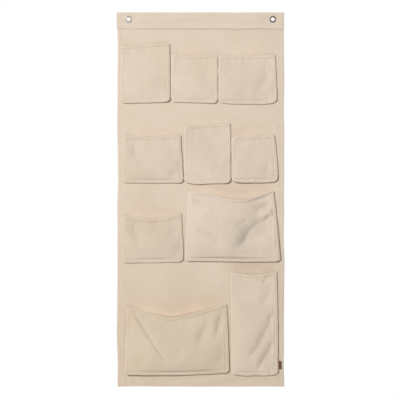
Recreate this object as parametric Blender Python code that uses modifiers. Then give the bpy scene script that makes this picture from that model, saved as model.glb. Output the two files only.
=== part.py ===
"""Canvas wall pocket organizer: a hanging canvas panel with ten gusseted pockets.

Metres, +Z up. The wall is the plane Y = 0, the panel hangs in front of it and faces -Y, and +X is
to the right of someone who looks at it. The origin is midway between the two eyelets.
"""

import math

import bmesh
import bpy

# Cloth, and the clearance that touching layers keep
CLOTH = 0.0010
LAYER_GAP = 0.0003

# Panel
PANEL_WIDTH = 0.450
SIDE_HEM = 0.012
BOTTOM_HEM = 0.020

# Strip of canvas over the panel's top edge
BAND_HEIGHT = 0.044
BAND_OVERHANG = 0.0012

# Eyelets and their washers
EYELET_INSET = 0.030
EYELET_DROP = 0.0184
EYELET_BORE_RADIUS = 0.00515
EYELET_SHEET = 0.0005
EYELET_FLANGE_RADIUS = 0.0089
EYELET_DOME = 0.0016
EYELET_ROLL = 0.0018
EYELET_STEPS = 24
DOME_STEPS = 6

# Rows of pockets: bare panel beside each row and between its fronts
TOP_LEFT_MARGIN = 0.0085
TOP_RIGHT_MARGIN = 0.0175
SECOND_LEFT_MARGIN = 0.0135
SECOND_RIGHT_MARGIN = 0.0145
THIRD_LEFT_MARGIN = 0.0145
THIRD_RIGHT_MARGIN = 0.0090
BOTTOM_LEFT_MARGIN = 0.0190
BOTTOM_RIGHT_MARGIN = 0.0150
FRONT_SPACING = 0.0025

# Bare panel above each row's tallest mouth, and below the last row
ABOVE_TOP_ROW = 0.0410
ABOVE_SECOND_ROW = 0.0545
ABOVE_THIRD_ROW = 0.0210
ABOVE_BOTTOM_ROW = 0.0240
BELOW_BOTTOM_ROW = 0.0310

# Pocket fronts, from seam to seam. One front in each row takes the width that the others leave.
TOP_LEFT_WIDTH = 0.1350
TOP_MIDDLE_WIDTH = 0.1245
SECOND_LEFT_WIDTH = 0.1645
SECOND_MIDDLE_WIDTH = 0.1265
THIRD_LEFT_WIDTH = 0.1640
BOTTOM_LONG_WIDTH = 0.1285
REST = None
SMALL_HEIGHT = 0.1310
TALL_HEIGHT = 0.1615
WIDE_HEIGHT = 0.1920
LONG_HEIGHT = 0.2815
CORNER_RADIUS = 0.012
RIM_WIDTH = 0.006

# Slack of the fronts
MOUTH_TILT = 0.010
MOUTH_SAG = 0.033
MOUTH_DRAW = 0.010
MOUTH_GAPE = 0.010
BELLY = 0.016
FOLD_DEPTH = 0.006
FOLD_WIDTH = 0.011

# Gussets: folded flat against the panel, between its face and the rim
RIM_STAND = 0.0055
GUSSET_FOLD = 0.0140
GUSSET_TIP = 0.0018
GUSSET_TIP_RADIUS = 0.003

# Tag in the side seam
TAG_REACH = 0.0072
TAG_HEIGHT = 0.0210
TAG_THICKNESS = 0.0012
TAG_ABOVE_FLOOR = 0.0190

# Cutters pass this far beyond what they cut, and points this near are made one
OVERRUN = 0.002
WELD_DISTANCE = 0.000005

# Colours, linear
CANVAS = (0.730, 0.615, 0.485, 1.0)
STEEL = (0.620, 0.620, 0.610, 1.0)
LEATHER = (0.170, 0.075, 0.035, 1.0)

# Middle of each layer, as a distance in front of the wall
BACK_FACE = 2 * (EYELET_SHEET + LAYER_GAP)
LAYER_STEP = CLOTH + LAYER_GAP
HEM_LEVEL = BACK_FACE + CLOTH / 2
PANEL_LEVEL = HEM_LEVEL + LAYER_STEP
FACING_LEVEL = PANEL_LEVEL + LAYER_STEP
RIM_LEVEL = FACING_LEVEL + RIM_STAND - CLOTH
FRONT_LEVEL = RIM_LEVEL + LAYER_STEP
FACING_FACE = FACING_LEVEL + CLOTH / 2

TOP_Z = EYELET_DROP
BAND_LOW_Z = TOP_Z - BAND_HEIGHT
HALF_WIDTH = PANEL_WIDTH / 2
BARREL_RADIUS = EYELET_BORE_RADIUS + EYELET_SHEET
HOLE_RADIUS = BARREL_RADIUS + LAYER_GAP

# Rows from the top: the bare panel above it, at its left and at its right, and each pocket's name,
# width and height from left to right
ROWS = (
    (
        ABOVE_TOP_ROW,
        TOP_LEFT_MARGIN,
        TOP_RIGHT_MARGIN,
        (
            ("top_left", TOP_LEFT_WIDTH, TALL_HEIGHT),
            ("top_middle", TOP_MIDDLE_WIDTH, SMALL_HEIGHT),
            ("top_right", REST, SMALL_HEIGHT),
        ),
    ),
    (
        ABOVE_SECOND_ROW,
        SECOND_LEFT_MARGIN,
        SECOND_RIGHT_MARGIN,
        (
            ("second_left", SECOND_LEFT_WIDTH, SMALL_HEIGHT),
            ("second_middle", SECOND_MIDDLE_WIDTH, TALL_HEIGHT),
            ("second_right", REST, SMALL_HEIGHT),
        ),
    ),
    (
        ABOVE_THIRD_ROW,
        THIRD_LEFT_MARGIN,
        THIRD_RIGHT_MARGIN,
        (
            ("third_left", THIRD_LEFT_WIDTH, SMALL_HEIGHT),
            ("third_wide", REST, WIDE_HEIGHT),
        ),
    ),
    (
        ABOVE_BOTTOM_ROW,
        BOTTOM_LEFT_MARGIN,
        BOTTOM_RIGHT_MARGIN,
        (
            ("bottom_wide", REST, WIDE_HEIGHT),
            ("bottom_long", BOTTOM_LONG_WIDTH, LONG_HEIGHT),
        ),
    ),
)

# How slack each front hangs, as shares of the slack sizes above: its left mouth corner's drop, its
# mouth's dip, where the dip is across it, how pointed the dip is, how far its left and right mouth
# corners are drawn in, how far its mouth gapes, and its belly
SLACK_SHARES = {
    "top_left": (0.9, 0.00, 0.50, 2.0, 0.0, 0.1, 0.05, 0.20),
    "top_middle": (0.0, 0.03, 0.50, 2.0, 0.0, 0.0, 0.05, 0.25),
    "top_right": (0.0, 0.06, 0.50, 2.0, 0.0, 0.6, 0.10, 0.40),
    "second_left": (0.0, 0.17, 0.50, 2.0, 0.5, 0.6, 0.10, 0.45),
    "second_middle": (1.0, 0.03, 0.50, 2.0, 0.0, 0.1, 0.05, 0.20),
    "second_right": (0.8, 0.10, 0.50, 2.0, 0.0, 1.1, 0.10, 0.40),
    "third_left": (0.7, 0.33, 0.50, 2.0, 0.3, 0.6, 0.25, 0.45),
    "third_wide": (0.0, 0.70, 0.60, 1.5, 1.0, 1.9, 1.00, 1.00),
    "bottom_wide": (0.3, 1.00, 0.46, 1.3, 0.6, 0.9, 0.70, 1.00),
    "bottom_long": (0.0, 0.30, 0.42, 2.0, 0.0, 0.5, 0.30, 0.65),
}

# Folds of each front, as shares of its width and height: from, to, depth and width. A negative
# depth is a groove.
FOLD_SHARES = {
    "top_right": (((0.85, 0.60), (0.40, 0.12), -0.35, 1.6),),
    "second_left": (
        ((0.10, 0.90), (0.35, 0.35), -0.25, 1.3),
        ((0.90, 0.90), (0.65, 0.35), -0.20, 1.3),
    ),
    "second_right": (((0.90, 0.85), (0.60, 0.30), -0.25, 1.3),),
    "third_left": (
        ((0.08, 0.88), (0.38, 0.25), -0.30, 1.3),
        ((0.92, 0.88), (0.62, 0.30), -0.25, 1.3),
    ),
    "third_wide": (
        ((0.95, 0.70), (0.68, 0.52), -1.20, 1.2),
        ((0.68, 0.52), (0.50, 0.15), -1.10, 1.4),
        ((0.97, 0.55), (0.66, 0.30), 0.70, 1.6),
        ((0.10, 0.90), (0.40, 0.20), -0.45, 1.3),
    ),
    "bottom_wide": (
        ((0.05, 0.97), (0.42, 0.18), -1.00, 0.9),
        ((0.14, 0.90), (0.46, 0.32), 0.60, 1.2),
        ((0.96, 0.97), (0.80, 0.45), -0.90, 1.1),
        ((0.80, 0.85), (0.64, 0.35), -0.60, 1.2),
    ),
    "bottom_long": (
        ((0.92, 0.97), (0.45, 0.66), -0.50, 1.2),
        ((0.86, 0.68), (0.30, 0.12), -0.80, 1.2),
        ((0.95, 0.42), (0.50, 0.08), -0.60, 1.2),
    ),
}

# Shares of a pocket's height and of a slope that shape the cloth between its seams
BELLY_RISE_SHARE = 0.35
BELLY_MOUTH_SHARE = 0.45
BELLY_POWER_SHARE = 0.8
GUSSET_TOP_SHARE = 0.45

# Grid steps of a front: between the rims across, and above the corners up
SMALL_STEPS = (8, 6)
LARGE_STEPS = (20, 14)
LARGE_POCKETS = ("third_wide", "bottom_wide", "bottom_long")
CORNER_STEPS = 3
HEM_STEPS = 4

COLLECTION = "canvas_wall_pocket_organizer"
CUTTERS = "cutters"


class Pocket:
    """The seams of one front, seen from the front, and the slack that its cloth has."""

    def __init__(self, name, left, floor, width, height):
        tilt, sag, dip, power, draw_left, draw_right, gape, belly = SLACK_SHARES[name]
        self.name = name
        self.left = left
        self.right = left + width
        self.floor = floor
        self.height = height
        self.corner_left = floor + height - tilt * MOUTH_TILT
        self.corner_right = floor + height
        self.sag = sag * MOUTH_SAG
        self.dip = dip
        self.dip_power = power
        self.draw_left = draw_left * MOUTH_DRAW
        self.draw_right = draw_right * MOUTH_DRAW
        self.gape = gape * MOUTH_GAPE
        self.belly = belly * BELLY

    def rise(self, z):
        """0 at the top of the floor's corners, 1 at the mouth's corners."""
        start = self.floor + CORNER_RADIUS
        return max(0.0, (z - start) / (self.height - CORNER_RADIUS))

    def corner_cut(self, z):
        """How far the rounded corner takes the seam in at this height."""
        below = max(0.0, self.floor + CORNER_RADIUS - z)
        return CORNER_RADIUS - math.sqrt(CORNER_RADIUS**2 - min(below, CORNER_RADIUS) ** 2)

    def left_seam(self, z):
        return self.left + self.draw_left * self.rise(z) + self.corner_cut(z)

    def right_seam(self, z):
        return self.right - self.draw_right * self.rise(z) - self.corner_cut(z)

    def mouth(self, across):
        """Height of the mouth's edge, at a share across the front."""
        side = self.dip if across < self.dip else 1 - self.dip
        away = abs(across - self.dip) / side
        straight = self.corner_left + (self.corner_right - self.corner_left) * across
        return straight - self.sag * (1 - away**self.dip_power)

    def opening(self):
        """The angle at which the mouth's corners have pulled the gusset's fold straight."""
        closed = RIM_LEVEL - FACING_LEVEL
        unfolded = 2 * math.hypot(GUSSET_FOLD, closed / 2)
        return math.asin((unfolded - closed) / self.height)

    def bulge(self, x, z, mouth):
        """How far the cloth stands out from the plane of its rim."""
        left = self.left_seam(z) + RIM_WIDTH
        right = self.right_seam(z) - RIM_WIDTH
        across = (x - left) / (right - left)
        low = self.floor + RIM_WIDTH
        up = (z - low) / (mouth - low)
        if not (0 < across < 1 and up > 0):
            return 0.0
        span = (4 * across * (1 - across)) ** BELLY_POWER_SHARE
        filled = 1 - (1 - min(1.0, up / BELLY_RISE_SHARE)) ** 2
        slimmed = 1 - (1 - BELLY_MOUTH_SHARE) * smooth((up - BELLY_RISE_SHARE) / (1 - BELLY_RISE_SHARE))
        stand = self.belly * filled * slimmed + self.gape * up**2
        return max(0.0, span * stand + min(1.0, 2 * span) * self.fold(x, z))

    def fold(self, x, z):
        """The folds' share of the bulge."""
        total = 0.0
        width = self.right - self.left
        for (u0, v0), (u1, v1), deep_share, wide_share in FOLD_SHARES.get(self.name, ()):
            ax, az = self.left + u0 * width, self.floor + v0 * self.height
            bx, bz = self.left + u1 * width, self.floor + v1 * self.height
            dx, dz = bx - ax, bz - az
            length = math.hypot(dx, dz)
            along = ((x - ax) * dx + (z - az) * dz) / length**2
            off = ((x - ax) * dz - (z - az) * dx) / length
            ends = smooth((1 - abs(2 * along - 1)) * 2)
            total += deep_share * ends * math.exp(-((off / (wide_share * FOLD_WIDTH)) ** 2))
        return total * FOLD_DEPTH


def smooth(t):
    t = min(1.0, max(0.0, t))
    return t * t * (3 - 2 * t)


def pockets():
    """The fronts, row by row down the panel."""
    found = []
    floor = BAND_LOW_Z
    for above, left_margin, right_margin, row in ROWS:
        floor -= above + max(height for name, width, height in row)
        sewn = sum(width for name, width, height in row if width is not REST)
        rest = PANEL_WIDTH - left_margin - right_margin - sewn - (len(row) - 1) * FRONT_SPACING
        left = left_margin - HALF_WIDTH
        for name, width, height in row:
            if width is REST:
                width = rest
            found.append(Pocket(name, left, floor, width, height))
            left += width + FRONT_SPACING
    return found


def clear_scene():
    for obj in list(bpy.data.objects):
        bpy.data.objects.remove(obj, do_unlink=True)


def new_collection(name):
    collection = bpy.data.collections.new(name)
    bpy.context.scene.collection.children.link(collection)
    return collection


def material(name, colour, roughness, metallic):
    made = bpy.data.materials.new(name)
    made.use_nodes = True
    shader = made.node_tree.nodes["Principled BSDF"]
    shader.inputs["Base Color"].default_value = colour
    shader.inputs["Roughness"].default_value = roughness
    shader.inputs["Metallic"].default_value = metallic
    return made


def canvas(name):
    return material(name + "_canvas", CANVAS, 0.9, 0.0)


def steel(name):
    return material(name + "_steel", STEEL, 0.3, 1.0)


def add_object(name, data, collection, finish=None, location=(0, 0, 0), parent=None):
    obj = bpy.data.objects.new(name, data)
    obj.location = location
    obj.parent = parent
    if finish:
        obj.data.materials.append(finish)
    collection.objects.link(obj)
    return obj


def add_empty(name, location, collection):
    """An empty for the pieces that hang together."""
    return add_object(name, None, collection, location=location)


def sheet(name, columns, rows, place, drop=None):
    """A grid of columns x rows cells, each vertex put at place(column, row)."""
    bm = bmesh.new()
    bmesh.ops.create_grid(bm, x_segments=columns, y_segments=rows, size=0.5)
    cells = {}
    for face in bm.faces:
        middle = face.calc_center_median()
        cells[face] = (int((middle.x + 0.5) * columns), int((middle.y + 0.5) * rows))
    if drop:
        gone = [face for face, cell in cells.items() if drop(*cell)]
        bmesh.ops.delete(bm, geom=gone, context="FACES")
    for vertex in bm.verts:
        column = round((vertex.co.x + 0.5) * columns)
        row = round((vertex.co.y + 0.5) * rows)
        vertex.co = place(column, row)
    mesh = bpy.data.meshes.new(name)
    bm.to_mesh(mesh)
    bm.free()
    mesh.shade_smooth()
    return mesh


def thicken(obj, thickness):
    made = obj.modifiers.new("cloth", "SOLIDIFY")
    made.thickness = thickness
    made.offset = 0
    made.use_even_offset = True
    return made


def cut(obj, cutter):
    made = obj.modifiers.new(cutter.name, "BOOLEAN")
    made.operation = "DIFFERENCE"
    made.solver = "EXACT"
    made.object = cutter


def turned(name, profile, collection, finish, location, parent):
    """A closed profile of (radius, level) turned about an axis that points to the front."""
    mesh = bpy.data.meshes.new(name)
    points = [(radius, 0, level) for radius, level in profile]
    count = len(points)
    mesh.from_pydata(points, [(i, (i + 1) % count) for i in range(count)], [])
    obj = add_object(name, mesh, collection, finish, location, parent)
    obj.rotation_euler.x = math.pi / 2
    screw = obj.modifiers.new("turn", "SCREW")
    screw.steps = EYELET_STEPS
    screw.render_steps = EYELET_STEPS
    screw.use_smooth_shade = True
    screw.use_merge_vertices = True
    screw.merge_threshold = WELD_DISTANCE
    return obj


def eyelet_profile():
    """Down the outside from the dome, under the flange, down the barrel and round its roll."""
    seat = FACING_FACE + LAYER_GAP
    half = (EYELET_FLANGE_RADIUS - EYELET_BORE_RADIUS) / 2
    crown = EYELET_BORE_RADIUS + half
    profile = []
    for step in range(DOME_STEPS + 1):
        turn = math.pi * step / DOME_STEPS
        profile.append((crown - half * math.cos(turn), seat + EYELET_SHEET + EYELET_DOME * math.sin(turn)))
    profile.append((EYELET_FLANGE_RADIUS, seat))
    profile.append((BARREL_RADIUS, seat))
    profile.append((BARREL_RADIUS, EYELET_SHEET))
    profile.append((BARREL_RADIUS + EYELET_ROLL, EYELET_SHEET))
    profile.append((BARREL_RADIUS + EYELET_ROLL, 0))
    profile.append((EYELET_BORE_RADIUS, 0))
    return profile


def washer_profile():
    front = BACK_FACE - LAYER_GAP
    back = front - EYELET_SHEET
    return [
        (EYELET_FLANGE_RADIUS, front),
        (EYELET_FLANGE_RADIUS, back),
        (HOLE_RADIUS, back),
        (HOLE_RADIUS, front),
    ]


def build_eyelets(collection, cutters, root):
    """Two eyelets and washers, and the cutters for their holes."""
    made = []
    for side, sign in (("left", -1), ("right", 1)):
        place = (sign * (HALF_WIDTH - EYELET_INSET), 0, 0)
        name = "eyelet_" + side
        turned(name, eyelet_profile(), collection, steel(name), place, root)
        name = "washer_" + side
        turned(name, washer_profile(), collection, steel(name), place, root)
        depth = FACING_FACE + 2 * OVERRUN
        bpy.ops.mesh.primitive_cylinder_add(
            vertices=EYELET_STEPS,
            radius=HOLE_RADIUS,
            depth=depth,
            location=(place[0], OVERRUN - depth / 2, 0),
            rotation=(math.pi / 2, 0, 0),
        )
        cutter = bpy.context.object
        cutter.name = "hole_" + side
        for linked in list(cutter.users_collection):
            linked.objects.unlink(cutter)
        cutters.objects.link(cutter)
        cutter.hide_render = True
        cutter.display_type = "WIRE"
        made.append(cutter)
    return made


def fold_points(outer, inner, level_in, level_out, steps):
    """A hem's section: from its free end to the fold, round it, and on to the sheet.

    outer is where the fold's outside lies and inner where the free end is, both along the sheet.
    """
    sign = 1 if outer > inner else -1
    radius = (level_out - level_in) / 2
    centre = outer - sign * (radius + CLOTH / 2)
    points = [(inner, level_in)]
    for step in range(steps + 1):
        turn = math.pi * step / steps
        points.append(
            (centre + sign * radius * math.sin(turn), (level_in + level_out) / 2 - radius * math.cos(turn))
        )
    return points


def build_panel(floor, collection, holes, root):
    """The hanging sheet, its side hems and bottom hem turned to the back and mitred."""
    side = fold_points(HALF_WIDTH, HALF_WIDTH - SIDE_HEM, HEM_LEVEL, PANEL_LEVEL, HEM_STEPS)
    across = [(-x, level) for x, level in side] + list(reversed(side))
    low = floor - BELOW_BOTTOM_ROW
    up = fold_points(low, low + BOTTOM_HEM, HEM_LEVEL, PANEL_LEVEL, HEM_STEPS)
    fold_radius = (FACING_LEVEL - HEM_LEVEL) / 2
    up.append((BAND_LOW_Z - LAYER_GAP, PANEL_LEVEL))
    up.append((TOP_Z - fold_radius - CLOTH / 2, PANEL_LEVEL))
    folded = HEM_STEPS + 1
    last = len(across) - 2

    def place(column, row):
        x, level_x = across[column]
        z, level_z = up[row]
        return (x, -min(level_x, level_z), z)

    def drop(column, row):
        in_side = column < folded or column > last - folded
        return in_side and (row < folded or row == len(up) - 2)

    mesh = sheet("back_panel", len(across) - 1, len(up) - 1, place, drop)
    obj = add_object("back_panel", mesh, collection, canvas("back_panel"), parent=root)
    thicken(obj, CLOTH)
    for hole in holes:
        cut(obj, hole)


def build_band(collection, holes, root):
    """The strip over the panel's top edge: back leg, fold, front leg."""
    section = fold_points(TOP_Z, BAND_LOW_Z, HEM_LEVEL, FACING_LEVEL, 2 * HEM_STEPS)
    section.append((BAND_LOW_Z, FACING_LEVEL))
    half = HALF_WIDTH + BAND_OVERHANG

    def place(column, row):
        z, level = section[row]
        return (half * (2 * column - 1), -level, z)

    mesh = sheet("top_band", 1, len(section) - 1, place)
    obj = add_object("top_band", mesh, collection, canvas("top_band"), parent=root)
    thicken(obj, CLOTH)
    for hole in holes:
        cut(obj, hole)


def front_steps(pocket):
    return LARGE_STEPS if pocket.name in LARGE_POCKETS else SMALL_STEPS


def build_front(pocket, collection):
    """One front, with its origin on the seam along its floor, about which its mouth opens."""
    inner, upper = front_steps(pocket)
    columns = inner + 2
    rows = CORNER_STEPS + upper
    pivot = ((pocket.left + pocket.right) / 2, -FRONT_LEVEL, pocket.floor)

    def place(column, row):
        low = pocket.floor + CORNER_RADIUS * (1 - math.cos(math.pi / 2 * min(row, CORNER_STEPS) / CORNER_STEPS))
        share = min(1.0, max(0.0, (column - 1) / inner))
        mouth = pocket.mouth(share)
        z = low + (mouth - low) * max(0, row - CORNER_STEPS) / upper
        left = pocket.left_seam(z)
        right = pocket.right_seam(z)
        if column == 0:
            x = left
        elif column == columns:
            x = right
        else:
            x = left + RIM_WIDTH + (right - left - 2 * RIM_WIDTH) * share
        stand = pocket.bulge(x, z, mouth)
        return (x - pivot[0], -stand, z - pivot[2])

    name = "front_" + pocket.name
    obj = add_object(name, sheet(name, columns, rows, place), collection, canvas(name), pivot)
    obj["opens_by_degrees"] = math.degrees(pocket.opening())
    thicken(obj, CLOTH)
    return obj


def seam_line(pocket, inset):
    """Points down the left seam, round the floor and up the right seam, moved in by inset."""
    radius = max(CORNER_RADIUS - inset, GUSSET_TIP_RADIUS)
    drop = inset * GUSSET_TOP_SHARE
    points = [(pocket.left_seam(pocket.corner_left) + inset, pocket.corner_left - drop)]
    low = pocket.floor + inset + radius
    for centre, start in ((pocket.left + inset + radius, math.pi), (pocket.right - inset - radius, 1.5 * math.pi)):
        for step in range(CORNER_STEPS + 1):
            turn = start + math.pi / 2 * step / CORNER_STEPS
            points.append((centre + radius * math.cos(turn), low + radius * math.sin(turn)))
    points.append((pocket.right_seam(pocket.corner_right) - inset, pocket.corner_right - drop))
    return points


def build_gusset(pocket, collection, root):
    """The strip between the panel and the rim: a flange at each edge and one fold inwards."""
    middle = (FACING_LEVEL + RIM_LEVEL) / 2
    section = [
        (0, FACING_LEVEL),
        (RIM_WIDTH, FACING_LEVEL),
        (RIM_WIDTH + GUSSET_FOLD, middle - GUSSET_TIP / 2),
        (RIM_WIDTH + GUSSET_FOLD, middle + GUSSET_TIP / 2),
        (RIM_WIDTH, RIM_LEVEL),
        (0, RIM_LEVEL),
    ]
    lines = [seam_line(pocket, inset) for inset, level in section]

    def place(column, row):
        x, z = lines[row][column]
        return (x, -section[row][1], z)

    name = "gusset_" + pocket.name
    mesh = sheet(name, len(lines[0]) - 1, len(section) - 1, place)
    obj = add_object(name, mesh, collection, canvas(name), parent=root)
    thicken(obj, CLOTH)


def build_tag(pocket, front, collection):
    """The tag in the side seam, with a round root about which it bends."""
    half = TAG_THICKNESS / 2
    bottom = pocket.floor + TAG_ABOVE_FLOOR
    axis_x = pocket.right_seam(bottom) + LAYER_GAP + half
    outline = []
    for step in range(2 * HEM_STEPS + 1):
        turn = math.pi / 2 + math.pi * step / (2 * HEM_STEPS)
        outline.append((half * math.cos(turn), half * math.sin(turn)))
    outline.append((TAG_REACH - half, -half))
    outline.append((TAG_REACH, 0))
    outline.append((TAG_REACH - half, half))
    curve = bpy.data.curves.new("side_tag", "CURVE")
    curve.dimensions = "2D"
    curve.fill_mode = "BOTH"
    curve.extrude = TAG_HEIGHT / 2
    spline = curve.splines.new("POLY")
    spline.points.add(len(outline) - 1)
    spline.use_cyclic_u = True
    for point, (x, y) in zip(spline.points, outline):
        point.co = (x, y, 0, 1)
    place = (axis_x, -FRONT_LEVEL, bottom + TAG_HEIGHT / 2)
    tag = add_object("side_tag", curve, collection, material("side_tag_leather", LEATHER, 0.6, 0.0))
    tag.parent = front
    tag.location = [place[axis] - front.location[axis] for axis in range(3)]


def main():
    clear_scene()
    collection = new_collection(COLLECTION)
    cutters = new_collection(CUTTERS)
    root = add_empty("hanging_point", (0, 0, 0), collection)
    holes = build_eyelets(collection, cutters, root)
    sewn = pockets()
    last = sewn[-1]
    build_panel(last.floor, collection, holes, root)
    build_band(collection, holes, root)
    for pocket in sewn:
        build_gusset(pocket, collection, root)
        front = build_front(pocket, collection)
    build_tag(last, front, collection)


main()
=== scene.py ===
import math

import bpy
import numpy as np
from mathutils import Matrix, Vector


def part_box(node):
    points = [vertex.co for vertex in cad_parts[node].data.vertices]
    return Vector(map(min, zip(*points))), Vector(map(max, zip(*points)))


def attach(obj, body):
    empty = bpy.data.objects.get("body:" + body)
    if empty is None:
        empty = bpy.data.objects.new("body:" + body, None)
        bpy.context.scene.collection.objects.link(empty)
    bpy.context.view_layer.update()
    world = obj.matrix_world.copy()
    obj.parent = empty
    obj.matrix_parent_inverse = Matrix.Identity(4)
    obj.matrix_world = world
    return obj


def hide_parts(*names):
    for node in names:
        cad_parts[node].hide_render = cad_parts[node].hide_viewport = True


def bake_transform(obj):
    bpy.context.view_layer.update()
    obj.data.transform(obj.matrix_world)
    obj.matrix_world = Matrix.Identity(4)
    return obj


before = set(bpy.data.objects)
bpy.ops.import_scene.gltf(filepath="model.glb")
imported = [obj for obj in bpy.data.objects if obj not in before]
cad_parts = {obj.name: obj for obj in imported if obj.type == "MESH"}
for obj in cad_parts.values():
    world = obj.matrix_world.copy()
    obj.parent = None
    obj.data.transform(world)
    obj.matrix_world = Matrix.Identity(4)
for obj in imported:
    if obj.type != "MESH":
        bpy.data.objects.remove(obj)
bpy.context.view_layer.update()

MM = 0.001

# Cloth, in metres
CAD_CLOTH = 0.0010
CLOTH = 0.0009
HEM_CLOTH = 0.0018
RIM_CLOTH = 0.0016
SIDE_HEM = 0.012
BOTTOM_HEM = 0.020

# Grid spacing of the fronts, gussets and hanging sheets
FRONT_STEP = 0.0021
GUSSET_STEP = 0.0030
PANEL_STEP = 0.0042
BAND_STEP = 0.0030

# Fronts: corner radius, row of stitches inside the seam and under the mouth, and the ridges there
CORNER_RADIUS = 0.012
RIM_ROW = 0.0080
RIM_HEIGHT = 0.0003
RIM_FALL = 0.0008
FALL_SHARE = 0.07
RIM_GROOVE = 0.0002
MOUTH_ROW = 0.0065
MOUTH_GROOVE = 0.0002
MOUTH_FLARE = 0.0013
PUCKER = 0.0004
PUCKER_LENGTH = 0.011
PUCKER_REACH = 0.007
GATHER_LENGTH = 0.0055
GATHER_SHARE = 2.0
QUIET_SHARE = 0.15
SEAM_WOBBLE = 0.0003
CLOTH_WAVE = 0.0003

# Places of grid lines beside an edge, which make room for its ridge and groove
EDGE_LINES = (
    0.0, 0.0006, 0.0014, 0.0026, 0.0040, 0.0054, 0.0066, 0.0074, 0.0080, 0.0086, 0.0093, 0.0102, 0.0116,
)
MOUTH_LINES = (0.0, 0.0006, 0.0014, 0.0026, 0.0040, 0.0052, 0.0060, 0.0065, 0.0070, 0.0078, 0.0092)

# Gussets
GUSSET_FLANGE = 0.0060
GUSSET_FOLD = 0.0140
GUSSET_TIP = 0.0009
GUSSET_CLOTH = 0.0007
GUSSET_TIP_RADIUS = 0.003
GUSSET_SLACK = 0.0012
GUSSET_DROP_SHARE = 0.45

# Slow waves of the hanging cloth, how much stronger they are at its bottom, how far its edges stray, and
# the calm round the eyelets: its reach, and the share of it at which the waves start
SWAY = 0.0013
SWAY_LENGTH = 0.21
SWAY_LOW_SHARE = 0.8
SWAY_CALM = 0.5
EDGE_STRAY = 0.0009
EDGE_STRAY_LENGTH = 0.13
EYELET_CALM = 0.035
CURL = 0.0007
CURL_REACH = 0.006

# Stitches
STITCH_LENGTH = 0.0027
STITCH_GAP = 0.0009
THREAD_RADIUS = 0.00027
THREAD_SIDES = 6
THREAD_RINGS = 5

# Clear space between layers, the least distance of a gusset's two legs, and where that ends inside the seam
CLEAR = 0.0003
FRONT_CLEAR = 0.0005
LEGS_APART = 0.00106
LEGS_END = 0.0225
LEGS_FADE = 0.004
LIMIT_ROUND = 0.0006

# Slack inside the row of stitches: where it and the painted shade of deep folds fade in, and how low a valley
# may lie at the rim and beyond two distances inside the seam, as (drop, distance, reach)
INSIDE_REACH = 0.012
VALLEY_RIM = -0.0002
VALLEYS = ((0.0012, 0.006, 0.014), (0.0038, 0.018, 0.010))

# Reach of a stitch row's groove and of the mouth's flare
GROOVE_REACH = 0.0009
FLARE_REACH = 0.0100

# Step of the lines that rows of stitches follow
RUN_STEP = 0.0012

# Grid lines of the hanging sheet beside its side and bottom edge, and of the band above its edge
SIDE_LINES = (0.0022, 0.0035, 0.0050, 0.0064, 0.0078, 0.0090, 0.0102, 0.0118, 0.0136, 0.0160)
BOTTOM_LINES = (0.0022, 0.0060, 0.0100, 0.0140, 0.0153, 0.0165, 0.0177, 0.0200)
BAND_LINES = (0.0190, 0.0165, 0.0148, 0.0135, 0.0122, 0.0105, 0.0085, 0.0060, 0.0035, 0.0015, 0.0)

# Canvas: threads and slubs
THREAD_PITCH = 0.00072
SLUB_LENGTH = 0.030
SLUB_WIDTH = 0.0011

# Photograph: its scale, its middle and the lens that shows it so
PHOTO_SIDE = 400
PHOTO_METRES_A_PIXEL = 0.0027027
PHOTO_ORIGIN_X = 200.7
PHOTO_ORIGIN_Y = 19.3
LENS_MM = 135
SENSOR_MM = 36

POCKET_NAMES = (
    "top_left", "top_middle", "top_right", "second_left", "second_middle", "second_right",
    "third_left", "third_wide", "bottom_wide", "bottom_long",
)


def box_layer(node, front):
    """Middle level of a node's first or last layer of cloth, as a distance in front of the wall."""
    low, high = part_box(node)
    return -low.y - CAD_CLOTH / 2 if front else -high.y + CAD_CLOTH / 2


def box_middle(node):
    low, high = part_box(node)
    return (low + high) / 2


PANEL_LEVEL = box_layer("back_panel", True)
HEM_LEVEL = box_layer("back_panel", False)
FACING_LEVEL = box_layer("gusset_top_left", False)
RIM_LEVEL = box_layer("gusset_top_left", True)
FRONT_LEVEL = box_layer("front_top_left", False)
PANEL_LOW, PANEL_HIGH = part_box("back_panel")
BAND_LOW, BAND_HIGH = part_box("top_band")
HALF_WIDTH = PANEL_HIGH.x - CAD_CLOTH / 20
EYELETS = {side: box_middle("eyelet_" + side) for side in ("left", "right")}


def smooth(t):
    t = np.clip(t, 0.0, 1.0)
    return t * t * (3 - 2 * t)


def soft_maximum(a, b, width):
    """The larger of two values, with a round change from one to the other."""
    return b + 0.5 * (a - b + np.sqrt((a - b) ** 2 + width**2)) - 0.25 * width


def noise(a, b, length, seed):
    """Smooth waves between about -1 and 1, one length apart, over two arrays of places."""
    random = np.random.default_rng(seed)
    total = 0.0
    waves = 7
    for _ in range(waves):
        turn = random.uniform(0, math.pi)
        phase = random.uniform(0, 2 * math.pi)
        rate = 2 * math.pi / length * random.uniform(0.6, 1.5)
        total = total + np.sin(rate * (a * math.cos(turn) + b * math.sin(turn)) + phase)
    return total / math.sqrt(waves)


def sway(x, z):
    """How far the hanging cloth stands off its level, away from the wall: slow waves, none at the eyelets."""
    waves = 0.5 + 0.5 * np.clip(noise(x, z, SWAY_LENGTH, 4), -1, 1)
    calm = 1.0
    for place in EYELETS.values():
        calm = calm * smooth(np.hypot(x - place.x, z - place.z) / EYELET_CALM - SWAY_CALM)
    low = (z - PANEL_LOW.z) / (PANEL_HIGH.z - PANEL_LOW.z)
    curl = CURL * smooth((CURL_REACH - (HALF_WIDTH - np.abs(x))) / CURL_REACH)
    return SWAY * waves * calm * (1 + SWAY_LOW_SHARE * (1 - low)) - curl


def side_stray(x, z):
    """Sideways stray of the sheet, which is none in its middle."""
    return EDGE_STRAY * (x / HALF_WIDTH) ** 3 * noise(z, np.sign(x), EDGE_STRAY_LENGTH, 8)


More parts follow.
